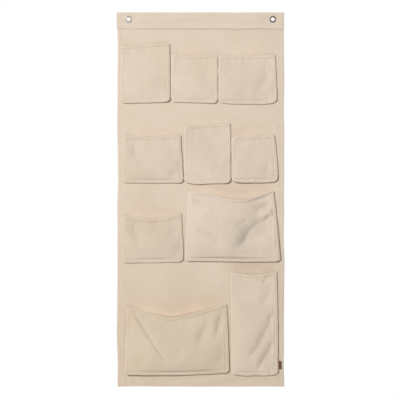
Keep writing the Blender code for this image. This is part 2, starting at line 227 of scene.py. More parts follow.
def smooth_path(points, steps=10):
    """A Catmull-Rom curve through points, as an array."""
    points = np.array(points, float)
    ends = np.vstack([2 * points[0] - points[1], points, 2 * points[-1] - points[-2]])
    found = []
    for i in range(1, len(ends) - 2):
        a, b, c, d = ends[i - 1 : i + 3]
        for k in range(steps):
            t = k / steps
            square, cube = 2 * a - 5 * b + 4 * c - d, 3 * b - a - 3 * c + d
            found.append(0.5 * (2 * b + (c - a) * t + square * t**2 + cube * t**3))
    found.append(points[-1])
    return np.array(found)


def beside_path(x, z, path):
    """For each place: its distance from a path, negative on the right of its run, and its share along it."""
    best = np.full(x.shape, np.inf)
    signed = np.zeros(x.shape)
    along = np.zeros(x.shape)
    lengths = np.hypot(*np.diff(path, axis=0).T)
    starts = np.concatenate([[0], np.cumsum(lengths)])
    for i, ((ax, az), (bx, bz)) in enumerate(zip(path[:-1], path[1:])):
        dx, dz = bx - ax, bz - az
        t = np.clip(((x - ax) * dx + (z - az) * dz) / (dx * dx + dz * dz), 0, 1)
        px, pz = x - ax - t * dx, z - az - t * dz
        far = np.hypot(px, pz)
        near = far < best
        side = np.where(dx * pz - dz * px >= 0, 1.0, -1.0)
        best = np.where(near, far, best)
        signed = np.where(near, far * side, signed)
        along = np.where(near, (starts[i] + t * lengths[i]) / starts[-1], along)
    return signed, along


# Mouth of each front: height as a share of the front's, at shares across it
MOUTHS = {
    "top_left": ((0, 0.955), (0.25, 0.965), (0.5, 0.985), (0.75, 0.995), (1, 1.0)),
    "top_middle": ((0, 1.0), (0.25, 0.99), (0.6, 0.985), (1, 1.0)),
    "top_right": ((0, 1.0), (0.28, 0.975), (0.55, 0.975), (0.78, 0.985), (1, 1.0)),
    "second_left": ((0, 0.985), (0.2, 0.965), (0.45, 0.95), (0.7, 0.962), (0.9, 0.99), (1, 1.0)),
    "second_middle": ((0, 0.95), (0.33, 0.975), (0.66, 0.99), (1, 1.0)),
    "second_right": ((0, 0.955), (0.3, 0.96), (0.65, 0.975), (1, 1.0)),
    "third_left": ((0, 0.955), (0.12, 0.93), (0.3, 0.9), (0.5, 0.888), (0.7, 0.91), (0.86, 0.955), (1, 1.0)),
    "third_wide": ((0, 1.0), (0.16, 0.985), (0.3, 0.95), (0.42, 0.905), (0.52, 0.885), (0.62, 0.882),
                   (0.72, 0.90), (0.82, 0.94), (0.92, 0.985), (1, 1.0)),
    "bottom_wide": ((0, 0.985), (0.08, 0.945), (0.17, 0.895), (0.27, 0.86), (0.37, 0.83), (0.46, 0.812),
                    (0.55, 0.835), (0.66, 0.87), (0.78, 0.915), (0.9, 0.965), (1, 1.0)),
    "bottom_long": ((0, 0.99), (0.2, 0.975), (0.45, 0.962), (0.65, 0.965), (0.82, 0.98), (1, 1.0)),
}

# Slack of each front: in metres, how far it is drawn in at the left and right mouth corner, its belly,
# and the stand of the mouth's middle, which is negative where it lies back on the panel; then the share
# across at which the belly is fullest, and the power by which it falls off to the sides
SLACK = {
    "top_left": (0.0, 0.001, 0.0035, -0.0022, 0.50, 2.2),
    "top_middle": (0.0, 0.0, 0.0040, -0.0022, 0.50, 2.2),
    "top_right": (0.0, 0.006, 0.0060, -0.0018, 0.46, 2.2),
    "second_left": (0.005, 0.008, 0.0070, -0.0015, 0.50, 2.1),
    "second_middle": (0.0, 0.001, 0.0035, -0.0022, 0.50, 2.2),
    "second_right": (0.0, 0.011, 0.0060, -0.0018, 0.46, 2.2),
    "third_left": (0.003, 0.006, 0.0075, -0.0010, 0.50, 2.1),
    "third_wide": (0.010, 0.019, 0.0175, 0.0125, 0.44, 2.1),
    "bottom_wide": (0.006, 0.009, 0.0150, 0.0030, 0.50, 2.3),
    "bottom_long": (0.0, 0.005, 0.0100, 0.0000, 0.38, 2.2),
}

# How each seam strays from its straight line, in millimetres: the floor's seam upwards, at shares
# across, and the left and right seams to the right, at shares up
SEAMS = {
    "top_left": (
        ((0, 1.0), (0.3, 1.9), (0.5, 2.6), (0.7, 3.8), (1, 5.6)), ((0, 0), (1, 0)),
        ((0, -1.3), (0.3, -1.2), (0.45, -1.3), (0.65, -1.6), (1, -2.0)),
    ),
    "top_middle": (
        ((0, 5.0), (0.3, 3.9), (0.5, 3.0), (0.7, 2.2), (1, 0.9)),
        ((0, -1.2), (0.45, -1.4), (0.62, -1.4), (0.8, -1.2), (1, -1.1)), ((0, 0), (1, 0)),
    ),
    "top_right": (
        ((0, 2.4), (0.1, 1.2), (0.3, -0.9), (0.5, -1.1), (0.75, -1.2), (0.9, 1.6), (1, 3.4)),
        ((0, 0), (1, 0)),
        ((0, -1.6), (0.5, -1.2), (1, -0.9)),
    ),
    "second_left": (
        ((0, 2.2), (0.5, 1.8), (1, 2.0)), ((0, 0), (1, 0)), ((0, 0.2), (0.5, 0), (1, 0)),
    ),
    "second_middle": (
        ((0, 2.6), (0.1, 1.6), (0.22, -1.0), (0.35, -1.0), (0.55, 0.1), (0.75, 1.1), (1, 1.5)),
        ((0, 0), (1, 0)),
        ((0, -1.6), (0.3, -1.2), (0.5, -1.1), (0.62, -1.0), (0.75, -1.0), (1, -1.5)),
    ),
    "second_right": (
        ((0, 5.2), (0.3, 3.0), (0.5, 3.3), (0.7, 3.6), (1, 5.0)),
        ((0, -1.1), (0.3, -1.1), (0.6, -1.3), (0.9, -1.4), (1, -1.2)),
        ((0, -4.4), (0.1, -3.2), (0.22, -1.2), (0.4, -0.2), (0.7, 0), (1, -0.6)),
    ),
    "third_left": (
        ((0, -1.6), (0.3, -0.2), (0.5, -0.3), (0.7, 1.1), (1, 1.3)), ((0, 0), (1, 0)),
        ((0, -1.0), (0.12, -0.7), (0.3, 0.1), (0.5, 0.2), (0.7, 0.1), (1, -0.3)),
    ),
    "third_wide": (
        ((0, 4.2), (0.3, 3.8), (0.5, 2.9), (0.75, 2.4), (1, 3.0)), ((0, 0.1), (1, 0.1)),
        ((0, -0.4), (0.25, -1.2), (0.45, 0), (1, 0)),
    ),
    "bottom_wide": (
        ((0, 3.0), (0.3, 2.0), (0.5, 2.5), (0.7, 4.4), (0.88, 6.8), (1, 7.8)), ((0, 0), (1, 0)),
        ((0, -1.8), (0.3, -1.4), (0.5, -0.6), (0.72, 0), (1, -0.3)),
    ),
    "bottom_long": (
        ((0, 4.0), (0.12, 2.9), (0.3, 0.4), (0.5, 1.0), (0.7, 0.8), (1, 3.2)), ((0, 0.3), (1, 0.3)),
        ((0, -0.6), (0.22, -1.2), (0.42, 0.4), (1, 0)),
    ),
}

# How far each front's rim stands beyond its level at the floor's left and right corner and at the
# mouth's left and right corner, and how much further the floor's two corners kick out
LIFTS = {
    "top_left": (-0.0018, -0.0016, -0.0026, -0.0024, 0.0, 0.0030),
    "top_middle": (-0.0016, -0.0014, -0.0026, -0.0022, 0.0, 0.0010),
    "top_right": (-0.0022, -0.0020, -0.0026, -0.0022, 0.0010, 0.0010),
    "second_left": (-0.0020, -0.0020, -0.0026, -0.0018, 0.0, 0.0024),
    "second_middle": (0.0004, -0.0010, -0.0026, -0.0025, 0.0006, 0.0022),
    "second_right": (0.0042, -0.0014, -0.0025, -0.0022, 0.0010, 0.0020),
    "third_left": (-0.0024, -0.0024, -0.0026, -0.0026, 0.0, 0.0012),
    "third_wide": (0.0014, 0.0014, -0.0024, -0.0006, 0.0, 0.0010),
    "bottom_wide": (0.0044, 0.0002, -0.0024, -0.0018, 0.0004, 0.0002),
    "bottom_long": (0.0, -0.0014, -0.0026, -0.0018, 0.0008, 0.0010),
}
KICK_REACH = 0.015
KICK_INSET = 0.006

# The panel above each mouth: how strong its painted warm shade is, how much paler painted light makes it
# at the mouth, and how far it swells forward there, in millimetres
ABOVE_MOUTH = {
    "top_left": (0.1, 0.0, 0.8), "top_middle": (0.2, 0.03, 1.0), "top_right": (0.2, 0.03, 1.0),
    "second_left": (0.3, 0.05, 1.2), "second_middle": (0.1, 0.08, 1.0), "second_right": (0.3, 0.07, 1.0),
    "third_left": (0.4, 0.06, 1.4), "third_wide": (0.55, 0.22, 5.0), "bottom_wide": (0.9, 0.12, 4.0),
    "bottom_long": (0.8, 0.0, 1.2),
}

# Painted shade and light of the canvas, darker and warmer towards the panel's bottom and lighter at its top,
# as what its colour is multiplied by: the panel's at shares up it, and the band's
PANEL_SHADE_RAMP = (
    (0.0, (0.925, 0.905, 0.880)), (0.17, (0.950, 0.938, 0.910)), (0.30, (0.965, 0.958, 0.940)),
    (0.38, (0.985, 0.980, 0.970)), (0.60, (1.0, 1.0, 1.0)), (0.82, (1.015, 1.010, 1.010)),
    (1.0, (1.022, 1.018, 1.030)),
)
BAND_PAINTED_LIGHT = (1.022, 1.018, 1.032)

# Painted shadows on the panel below a pocket's floor: middle across and up, reach across and up, in metres,
# and how dark
PANEL_PAINTED_SHADOWS = (
    (0.132, -0.667, 0.062, 0.017, 0.085),
)

# Colour of each front as a multiplier, at its floor and at its mouth: partly the piece's own tone, and partly
# painted shade, darker towards the floor
FRONT_TONE_AND_SHADE = {
    "top_left": ((0.998, 0.995, 0.993), (0.998, 0.995, 0.993)),
    "top_middle": ((1.005, 1.005, 1.008), (1.005, 1.005, 1.008)),
    "top_right": ((0.990, 0.990, 1.005), (0.995, 0.994, 1.005)),
    "second_left": ((0.955, 0.948, 0.945), (0.975, 0.966, 0.962)),
    "second_middle": ((0.980, 0.983, 0.995), (0.985, 0.986, 0.996)),
    "second_right": ((0.980, 0.978, 0.992), (0.985, 0.982, 0.992)),
    "third_left": ((0.925, 0.916, 0.904), (0.945, 0.935, 0.922)),
    "third_wide": ((0.957, 0.957, 0.976), (1.005, 1.008, 1.028)),
    "bottom_wide": ((0.915, 0.900, 0.850), (0.935, 0.920, 0.875)),
    "bottom_long": ((0.940, 0.935, 0.925), (0.970, 0.964, 0.960)),
}

# Folds of each front: a height in metres, negative for a groove, its reach in metres to the left and
# to the right of its run, the shares of its run over which it starts and ends, and its run, as
# shares across and up the front
FOLDS = {
    "top_left": (
        (-0.0007, 0.012, 0.012, 0.2, 0.4, ((0.33, 0.92), (0.40, 0.78), (0.47, 0.64))),
        (-0.0009, 0.012, 0.012, 0.3, 0.4, ((0.55, 0.48), (0.70, 0.27), (0.80, 0.15))),
        (-0.0009, 0.007, 0.007, 0.1, 0.5, ((0.93, 0.97), (0.80, 0.86))),
    ),
    "top_middle": (
        (-0.0010, 0.012, 0.014, 0.2, 0.4, ((0.88, 0.82), (0.75, 0.57), (0.60, 0.40))),
    ),
    "top_right": (
        (-0.0036, 0.018, 0.020, 0.1, 0.3, ((0.88, 0.94), (0.82, 0.62), (0.72, 0.36), (0.58, 0.10))),
        (-0.0010, 0.010, 0.012, 0.2, 0.4, ((0.90, 0.95), (0.85, 0.66), (0.74, 0.36))),
        (-0.0008, 0.012, 0.012, 0.2, 0.5, ((0.03, 0.45), (0.28, 0.33), (0.50, 0.30))),
    ),
    "second_left": (
        (-0.0036, 0.021, 0.011, 0.30, 0.3, ((0.06, 0.95), (0.15, 0.72), (0.235, 0.52), (0.38, 0.24))),
        (-0.0020, 0.016, 0.014, 0.2, 0.4, ((0.92, 0.90), (0.80, 0.62), (0.76, 0.34))),
        (-0.0022, 0.008, 0.012, 0.1, 0.5, ((0.97, 0.30), (0.84, 0.19), (0.68, 0.14))),
    ),
    "second_middle": (
        (-0.0010, 0.010, 0.012, 0.1, 0.5, ((0.03, 0.34), (0.25, 0.27), (0.45, 0.22))),
        (-0.0010, 0.012, 0.012, 0.3, 0.3, ((0.62, 0.60), (0.68, 0.32), (0.60, 0.12))),
        (-0.0014, 0.008, 0.010, 0.1, 0.5, ((0.97, 0.30), (0.82, 0.14))),
    ),
    "second_right": (
        (-0.0018, 0.012, 0.012, 0.3, 0.3, ((0.80, 0.60), (0.77, 0.36), (0.68, 0.10))),
        (-0.0007, 0.010, 0.010, 0.1, 0.5, ((0.52, 0.92), (0.47, 0.64))),
        (0.0009, 0.010, 0.012, 0.3, 0.4, ((0.10, 0.62), (0.30, 0.50), (0.45, 0.46))),
    ),
    "third_left": (
        (-0.0030, 0.020, 0.011, 0.30, 0.4, ((0.06, 0.90), (0.15, 0.71), (0.24, 0.50), (0.35, 0.26))),
        (-0.0030, 0.024, 0.015, 0.12, 0.4, ((0.99, 0.92), (0.89, 0.76), (0.80, 0.55), (0.74, 0.34))),
        (-0.0018, 0.006, 0.008, 0.1, 0.5, ((0.97, 0.24), (0.84, 0.13))),
        (0.0012, 0.009, 0.009, 0.3, 0.4, ((0.86, 0.40), (0.73, 0.24))),
    ),
    "third_wide": (
        (-0.0066, 0.013, 0.014, 0.25, 0.4,
         ((0.84, 0.545), (0.76, 0.475), (0.70, 0.40), (0.62, 0.30), (0.54, 0.19))),
        (-0.0205, 0.042, 0.030, 0.01, 0.54,
         ((0.985, 0.60), (0.88, 0.555), (0.79, 0.495), (0.73, 0.43), (0.675, 0.35), (0.61, 0.28),
          (0.55, 0.215), (0.46, 0.09))),
        (0.0080, 0.012, 0.020, 0.02, 0.4, ((1.0, 0.73), (0.93, 0.705), (0.85, 0.675), (0.74, 0.63))),
        (-0.0060, 0.016, 0.014, 0.03, 0.5, ((1.0, 0.61), (0.90, 0.575), (0.80, 0.525))),
        (-0.0018, 0.009, 0.006, 0.1, 0.3, ((0.66, 0.60), (0.58, 0.545), (0.49, 0.455))),
        (-0.0056, 0.009, 0.008, 0.30, 0.4,
         ((0.02, 0.95), (0.07, 0.89), (0.14, 0.835), (0.21, 0.775), (0.26, 0.69))),
        (-0.0042, 0.010, 0.012, 0.1, 0.3, ((0.12, 0.47), (0.26, 0.37), (0.40, 0.22))),
        (-0.0080, 0.017, 0.024, 0.1, 0.65, ((0.96, 0.83), (0.85, 0.785), (0.75, 0.735), (0.64, 0.68))),
        (-0.0030, 0.006, 0.007, 0.05, 0.3, ((0.97, 0.93), (0.84, 0.915), (0.72, 0.865), (0.60, 0.84))),
        (-0.0040, 0.007, 0.008, 0.1, 0.5, ((0.955, 0.88), (0.845, 0.80), (0.79, 0.76), (0.735, 0.66))),
    ),
    "bottom_wide": (
        (-0.0055, 0.0056, 0.0056, 0.03, 0.10,
         ((0.03, 0.99), (0.12, 0.81), (0.22, 0.58), (0.32, 0.36), (0.41, 0.19))),
        (0.0036, 0.022, 0.026, 0.15, 0.3, ((0.06, 0.90), (0.20, 0.60), (0.40, 0.22))),
        (-0.0054, 0.020, 0.008, 0.04, 0.3,
         ((0.99, 1.0), (0.945, 0.88), (0.905, 0.76), (0.875, 0.62), (0.85, 0.46))),
        (-0.0038, 0.018, 0.009, 0.3, 0.3,
         ((0.83, 0.85), (0.769, 0.70), (0.74, 0.61), (0.716, 0.52), (0.68, 0.35))),
        (-0.0018, 0.012, 0.016, 0.2, 0.3, ((1.0, 0.60), (0.95, 0.34), (0.88, 0.12))),
    ),
    "bottom_long": (
        (-0.0044, 0.005, 0.005, 0.05, 0.4, ((0.93, 0.995), (0.79, 0.94), (0.62, 0.864))),
        (-0.0044, 0.005, 0.005, 0.05, 0.4, ((0.98, 0.965), (0.90, 0.90), (0.79, 0.84))),
        (-0.0034, 0.016, 0.012, 0.2, 0.4, ((0.94, 0.88), (0.80, 0.80), (0.68, 0.70), (0.62, 0.60))),
        (-0.0062, 0.017, 0.012, 0.04, 0.2,
         ((0.99, 0.63), (0.86, 0.56), (0.78, 0.47), (0.72, 0.42), (0.635, 0.345), (0.565, 0.285),
          (0.44, 0.21), (0.25, 0.15))),
        (-0.0026, 0.006, 0.005, 0.1, 0.3, ((0.95, 0.58), (0.89, 0.46), (0.84, 0.35))),
        (-0.0062, 0.018, 0.010, 0.03, 0.1,
         ((1.0, 0.385), (0.91, 0.315), (0.805, 0.24), (0.70, 0.17), (0.595, 0.085), (0.55, 0.03))),
    ),
}

# How wide a valley's turn is where it reaches the cloth's lowest level
VALLEY_ROUND = 0.0016

# Painted shade in deep folds: how much darker a deep fold's cloth is, and the depth at which it is so
CREASE_SHADE = 0.06
CREASE_SHADE_DEPTH = 0.004

BELLY_RISE_SHARE = 0.32
FOLD_END_SHARE = 0.4
FOLD_POWER = 1.45


class Front:
    """Seams, mouth and surface of one pocket front, laid out from its CAD box."""

    def __init__(self, name, number):
        low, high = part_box("front_" + name)
        self.name = name
        self.number = number
        self.left, self.right = low.x, high.x
        self.floor = low.z
        self.width = self.right - self.left
        self.height = high.z - low.z
        self.draw_left, self.draw_right, self.belly, self.stand_off, peak, self.fall_power = SLACK[name]
        self.lean = math.log(0.5) / math.log(peak)
        self.rim_fall = RIM_FALL + FALL_SHARE * self.belly
        self.mouth_path = smooth_path(MOUTHS[name], 12)
        self.floor_path, self.left_path, self.right_path = (smooth_path(points, 12) for points in SEAMS[name])
        self.low_left = self.floor + MM * self.floor_path[0, 1]
        self.low_right = self.floor + MM * self.floor_path[-1, 1]
        self.folds = []
        for *sizes, points in FOLDS[name]:
            places = [(self.left + u * self.width, self.floor + v * self.height) for u, v in points]
            self.folds.append((smooth_path(places, 6), *sizes))

    def rise(self, z):
        """0 at the top of the floor's corners, 1 at the mouth's corners."""
        start = self.floor + CORNER_RADIUS
        return np.maximum(0.0, (z - start) / (self.height - CORNER_RADIUS))

    def corner_cut(self, z, low):
        below = np.clip(low + CORNER_RADIUS - z, 0, CORNER_RADIUS)
        return CORNER_RADIUS - np.sqrt(CORNER_RADIUS**2 - below**2)

    def wobble(self, place, seed):
        return SEAM_WOBBLE * noise(place, 0.3 * place, 0.045, 100 * self.number + seed)

    def left_line(self, z):
        """The left seam without its corner."""
        stray = MM * np.interp((z - self.floor) / self.height, self.left_path[:, 0], self.left_path[:, 1])
        return self.left + self.draw_left * self.rise(z) + stray + self.wobble(z, 1)

    def right_line(self, z):
        stray = MM * np.interp((z - self.floor) / self.height, self.right_path[:, 0], self.right_path[:, 1])
        return self.right - self.draw_right * self.rise(z) + stray + self.wobble(z, 2)

    def left_seam(self, z):
        return self.left_line(z) + self.corner_cut(z, self.low_left)

    def right_seam(self, z):
        return self.right_line(z) - self.corner_cut(z, self.low_right)

    def floor_seam(self, x):
        across = np.clip((x - self.left) / self.width, 0, 1)
        wobble = self.wobble(x, 3) * 4 * across * (1 - across)
        return self.floor + MM * np.interp(across, self.floor_path[:, 0], self.floor_path[:, 1]) + wobble

    def mouth(self, across):
        share = np.interp(across, self.mouth_path[:, 0], self.mouth_path[:, 1])
        return self.floor + self.height * share

    def corner_top(self, side):
        return self.mouth(0.0 if side == "left" else 1.0)

    def edge_distance(self, x, z):
        """Distance inside the seam, which runs down both sides and round the floor."""
        from_left = x - self.left_line(z)
        from_right = self.right_line(z) - x
        from_floor = z - self.floor_seam(x)
        near = np.minimum(from_left, from_right)
        corner = CORNER_RADIUS - np.hypot(
            np.clip(CORNER_RADIUS - near, 0, None), np.clip(CORNER_RADIUS - from_floor, 0, None)
        )
        in_corner = (near < CORNER_RADIUS) & (from_floor < CORNER_RADIUS)
        return np.where(in_corner, corner, np.minimum(near, from_floor))

    def across(self, x, z):
        left, right = self.left_seam(z), self.right_seam(z)
        return np.clip((x - left) / (right - left), 0, 1)

    def lift(self, x, z):
        """How far the rim stands beyond its level."""
        across = np.clip((x - self.left) / self.width, 0, 1)
        up = np.clip((z - self.floor) / self.height, 0, 1)
        low_left, low_right, high_left, high_right, kick_left, kick_right = LIFTS[self.name]
        low = low_left + (low_right - low_left) * across
        high = high_left + (high_right - high_left) * across
        kick = kick_left * self.near_corner(x, z, "left") + kick_right * self.near_corner(x, z, "right")
        return low + (high - low) * up + kick + 0.0003 * noise(x, z, 0.06, 700 + self.number)

    def near_corner(self, x, z, side):
        """1 at the floor's left or right corner, falling to 0 round it."""
        corner_x, low = (self.left, self.low_left) if side == "left" else (self.right, self.low_right)
        inset = KICK_INSET if side == "left" else -KICK_INSET
        return np.exp(-(((x - corner_x - inset) ** 2 + (z - low - KICK_INSET) ** 2) / KICK_REACH**2))

    def folded(self, x, z):
        """Height of the folds, and how deep in one each place lies, from 0 to 1, which sets the folds'
        painted shade.
        """
        total, deep = 0.0, 0.0
        for path, height, left_reach, right_reach, start, end in self.folds:
            off, along = beside_path(x, z, path)
            reach = np.where(off > 0, left_reach, right_reach)
            ends = smooth(along / start) * smooth((1 - along) / end)
            swell = FOLD_END_SHARE + (1 - FOLD_END_SHARE) * np.sin(math.pi * along) ** 0.8
            fold = ends * swell * np.exp(-((np.abs(off) / (reach * swell)) ** FOLD_POWER))
            total = total + height * fold
            deep = deep + min(max(-height / CREASE_SHADE_DEPTH, 0.0), 1.0) * fold**3
        return total, np.clip(deep, 0, 1)

    def tone_and_painted_light(self, x, z):
        """What the canvas colour is multiplied by, as red, green and blue at each place: the front's own tone
        with painted shade, darker towards the floor and in deep folds.
        """
        low, high = np.array(FRONT_TONE_AND_SHADE[self.name])
        up = np.clip((z - self.floor) / self.height, 0, 1)[..., None]
        inside = smooth((self.edge_distance(x, z) - RIM_ROW) / INSIDE_REACH)
        # The cloth in deep folds is made darker here: painted shade.
        return (low + (high - low) * up) * (1 - CREASE_SHADE * (inside * self.folded(x, z)[1])[..., None])

    def body(self, x, z, edge):
        """Slack of the cloth inside its row of stitches: belly, mouth and folds."""
        across = self.across(x, z)
        mouth = self.mouth(across)
        up = np.clip((z - self.floor) / (mouth - self.floor), 0, 1)
        span = 1 - np.abs(2 * across**self.lean - 1) ** self.fall_power
        filled = 1 - (1 - np.clip(up / BELLY_RISE_SHARE, 0, 1)) ** 2
        settled = smooth((up - BELLY_RISE_SHARE) / (1 - BELLY_RISE_SHARE))
        stand = self.belly + (self.stand_off - self.belly) * settled
        inside = smooth((edge - RIM_ROW) / INSIDE_REACH)
        small = CLOTH_WAVE * noise(x, z, 0.055, 300 + self.number)
        slack = span * filled * stand + inside * (self.folded(x, z)[0] + small * (0.5 + filled))
        lowest = VALLEY_RIM - sum(drop * smooth((edge - start) / reach) for drop, start, reach in VALLEYS)
        return soft_maximum(slack, lowest, VALLEY_ROUND)

    def stand(self, x, z):
        """How far the outer face stands beyond its level at the rim."""
        edge = self.edge_distance(x, z)
        across = self.across(x, z)
        under = self.mouth(across) - z
        along = np.where(np.minimum(x - self.left, self.right - x) < z - self.floor, z, x)
        body = self.body(x, z, edge) * smooth((edge - 0.75 * RIM_ROW) / 0.007)
        share = np.clip(edge / RIM_ROW, 0, 1)
        ripple = noise(along, 0.2 * along, PUCKER_LENGTH, 200 + self.number)
        strong = QUIET_SHARE + (1 - QUIET_SHARE) * smooth((across - 0.12) / 0.2)
        ridge = RIM_HEIGHT * strong * np.sin(math.pi * share) ** 0.8 * (1 + 0.35 * ripple)
        ridge = ridge - self.fall(edge)
        groove = -RIM_GROOVE * strong * np.exp(-(((edge - RIM_ROW) / GROOVE_REACH) ** 2))
        corners = self.near_corner(x, z, "left") + self.near_corner(x, z, "right")
        gathers = noise(along, -0.9 * along, GATHER_LENGTH, 220 + self.number) * GATHER_SHARE * corners
        pucker = PUCKER * (strong * ripple + gathers) * np.exp(-np.abs(edge - RIM_ROW) / PUCKER_REACH)
        pucker = pucker * smooth(share)
        hem = -MOUTH_GROOVE * np.exp(-(((under - MOUTH_ROW) / GROOVE_REACH) ** 2))
        flare = MOUTH_FLARE * smooth((FLARE_REACH - under) / FLARE_REACH)
        hem = hem + flare * smooth((edge - 0.5 * RIM_ROW) / 0.010)
        hem_ripple = noise(x, 0 * x, 0.016, 240 + self.number)
        hem = hem + 0.0003 * hem_ripple * np.exp(-(under - MOUTH_ROW) ** 2 / 0.009**2)
        lowest = self.lowest(x, z, edge) + LIMIT_ROUND / 4
        return soft_maximum(body + ridge + groove + pucker + hem + self.lift(x, z), lowest, LIMIT_ROUND)

    def lowest(self, x, z, edge):
        """The least stand that leaves room for the panel, and near the seam for the gusset's two legs."""
        legs = LEGS_APART + GUSSET_CLOTH + self.clear(x, z)
        room = CLOTH + CLEAR + legs * smooth((LEGS_END + LEGS_FADE - edge) / LEGS_FADE)
        return PANEL_LEVEL - FRONT_LEVEL + room + panel_relief(x, z)

    def clear(self, x, z):
        """Clear space between the front and its gusset: more at the floor's gathered corners."""
        return FRONT_CLEAR * (1 + self.near_corner(x, z, "left") + self.near_corner(x, z, "right"))

    def fall(self, edge):
        """How far the rim falls back beside its edge."""
        return self.rim_fall * (1 - np.clip(edge / RIM_ROW, 0, 1)) ** 1.6

    def thickness(self, x, z):
        edge = self.edge_distance(x, z)
        under = self.mouth(self.across(x, z)) - z
        rim = (RIM_CLOTH - CLOTH) * smooth((RIM_ROW + 0.0010 - edge) / 0.0020)
        hem = (HEM_CLOTH - CLOTH) * smooth((MOUTH_ROW + 0.0016 - under) / 0.0030)
        return CLOTH + np.maximum(rim, hem)

    def outer(self, x, z):
        """Y of the outer face."""
        return -(FRONT_LEVEL - CLOTH / 2 + self.thickness(x, z) + self.stand(x, z) + sway(x, z))

    def seam_path(self, inset, step):
        """Places down the left seam, round the floor and up the right one, moved in by inset."""
        radius = max(CORNER_RADIUS - inset, GUSSET_TIP_RADIUS)
        drop = inset * GUSSET_DROP_SHARE
        low_left = self.low_left + inset + radius
        low_right = self.low_right + inset + radius
        side_steps = round(self.height / step)
        floor_steps = round(self.width / step)
        corner_steps = max(4, round(CORNER_RADIUS / step) * 2)
        share = np.linspace(0, 1, side_steps + 1)
        z_left = self.corner_top("left") - drop + (low_left - self.corner_top("left") + drop) * share
        x_left = self.left_line(z_left) + inset
        z_right = low_right + (self.corner_top("right") - drop - low_right) * share
        x_right = self.right_line(z_right) - inset
        turn = np.linspace(math.pi, 1.5 * math.pi, corner_steps + 1)[1:-1]
        corner_left = (x_left[-1] + radius + radius * np.cos(turn), low_left + radius * np.sin(turn))
        turn = np.linspace(1.5 * math.pi, 2 * math.pi, corner_steps + 1)[1:-1]
        corner_right = (x_right[0] - radius + radius * np.cos(turn), low_right + radius * np.sin(turn))
        x_floor = np.linspace(x_left[-1] + radius, x_right[0] - radius, floor_steps + 1)
        z_floor = self.floor_seam(x_floor) + inset
        ease_left = z_floor[0] - (self.low_left + inset)
        ease_right = z_floor[-1] - (self.low_right + inset)
        x = np.concatenate([x_left, corner_left[0], x_floor, corner_right[0], x_right])
        z = np.concatenate([
            z_left,
            corner_left[1] + ease_left * np.linspace(0, 1, len(corner_left[1])),
            z_floor,
            corner_right[1] + ease_right * np.linspace(1, 0, len(corner_right[1])),
            z_right,
        ])
        return x, z


def grid_lines(near, far, length, step):
    """Places from 0 to length: close ones beside both ends, and even ones between them."""
    steps = max(2, round((length - near[-1] - far[-1]) / step))
    middle = np.linspace(near[-1], length - far[-1], steps + 1)[1:-1]
    return np.concatenate([near, middle, length - np.array(far[::-1])])


def new_object(name, mesh, materials):
    obj = bpy.data.objects.new(name, mesh)
    bpy.context.scene.collection.objects.link(obj)
    for material in materials:
        mesh.materials.append(material)
    return obj


def mesh_from(name, points, faces, uv, shade=None, tone_and_painted_light=(1.0, 1.0, 1.0)):
    """A smooth mesh with a map named cloth in metres, and at each point how worn it is and its tone with
    painted light and shade.
    """
    mesh = bpy.data.meshes.new(name)
    mesh.from_pydata([tuple(p) for p in points], [], faces)
    loops = np.zeros(len(mesh.loops), np.int64)
    mesh.loops.foreach_get("vertex_index", loops)
    layer = mesh.uv_layers.new(name="cloth")
    layer.data.foreach_set("uv", np.asarray(uv, np.float32)[loops].ravel())
    if shade is not None:
        mesh.attributes.new("worn", "FLOAT", "POINT").data.foreach_set("value", np.asarray(shade, np.float32))
    tone_and_painted_light = np.broadcast_to(np.asarray(tone_and_painted_light, np.float32), (len(points), 3))
    mesh.attributes.new("tone_and_painted_light", "FLOAT_VECTOR", "POINT").data.foreach_set("vector", tone_and_painted_light.ravel())
    mesh.shade_smooth()
    mesh.update()
    return mesh


def unit(vectors):
    return vectors / np.maximum(np.linalg.norm(vectors, axis=-1, keepdims=True), 1e-12)


def square_to(vectors, others):
    """The directions of vectors without their part along the others."""
    others = unit(others)
    return unit(vectors - (vectors * others).sum(-1, keepdims=True) * others)


EDGE_ROUNDS = 3


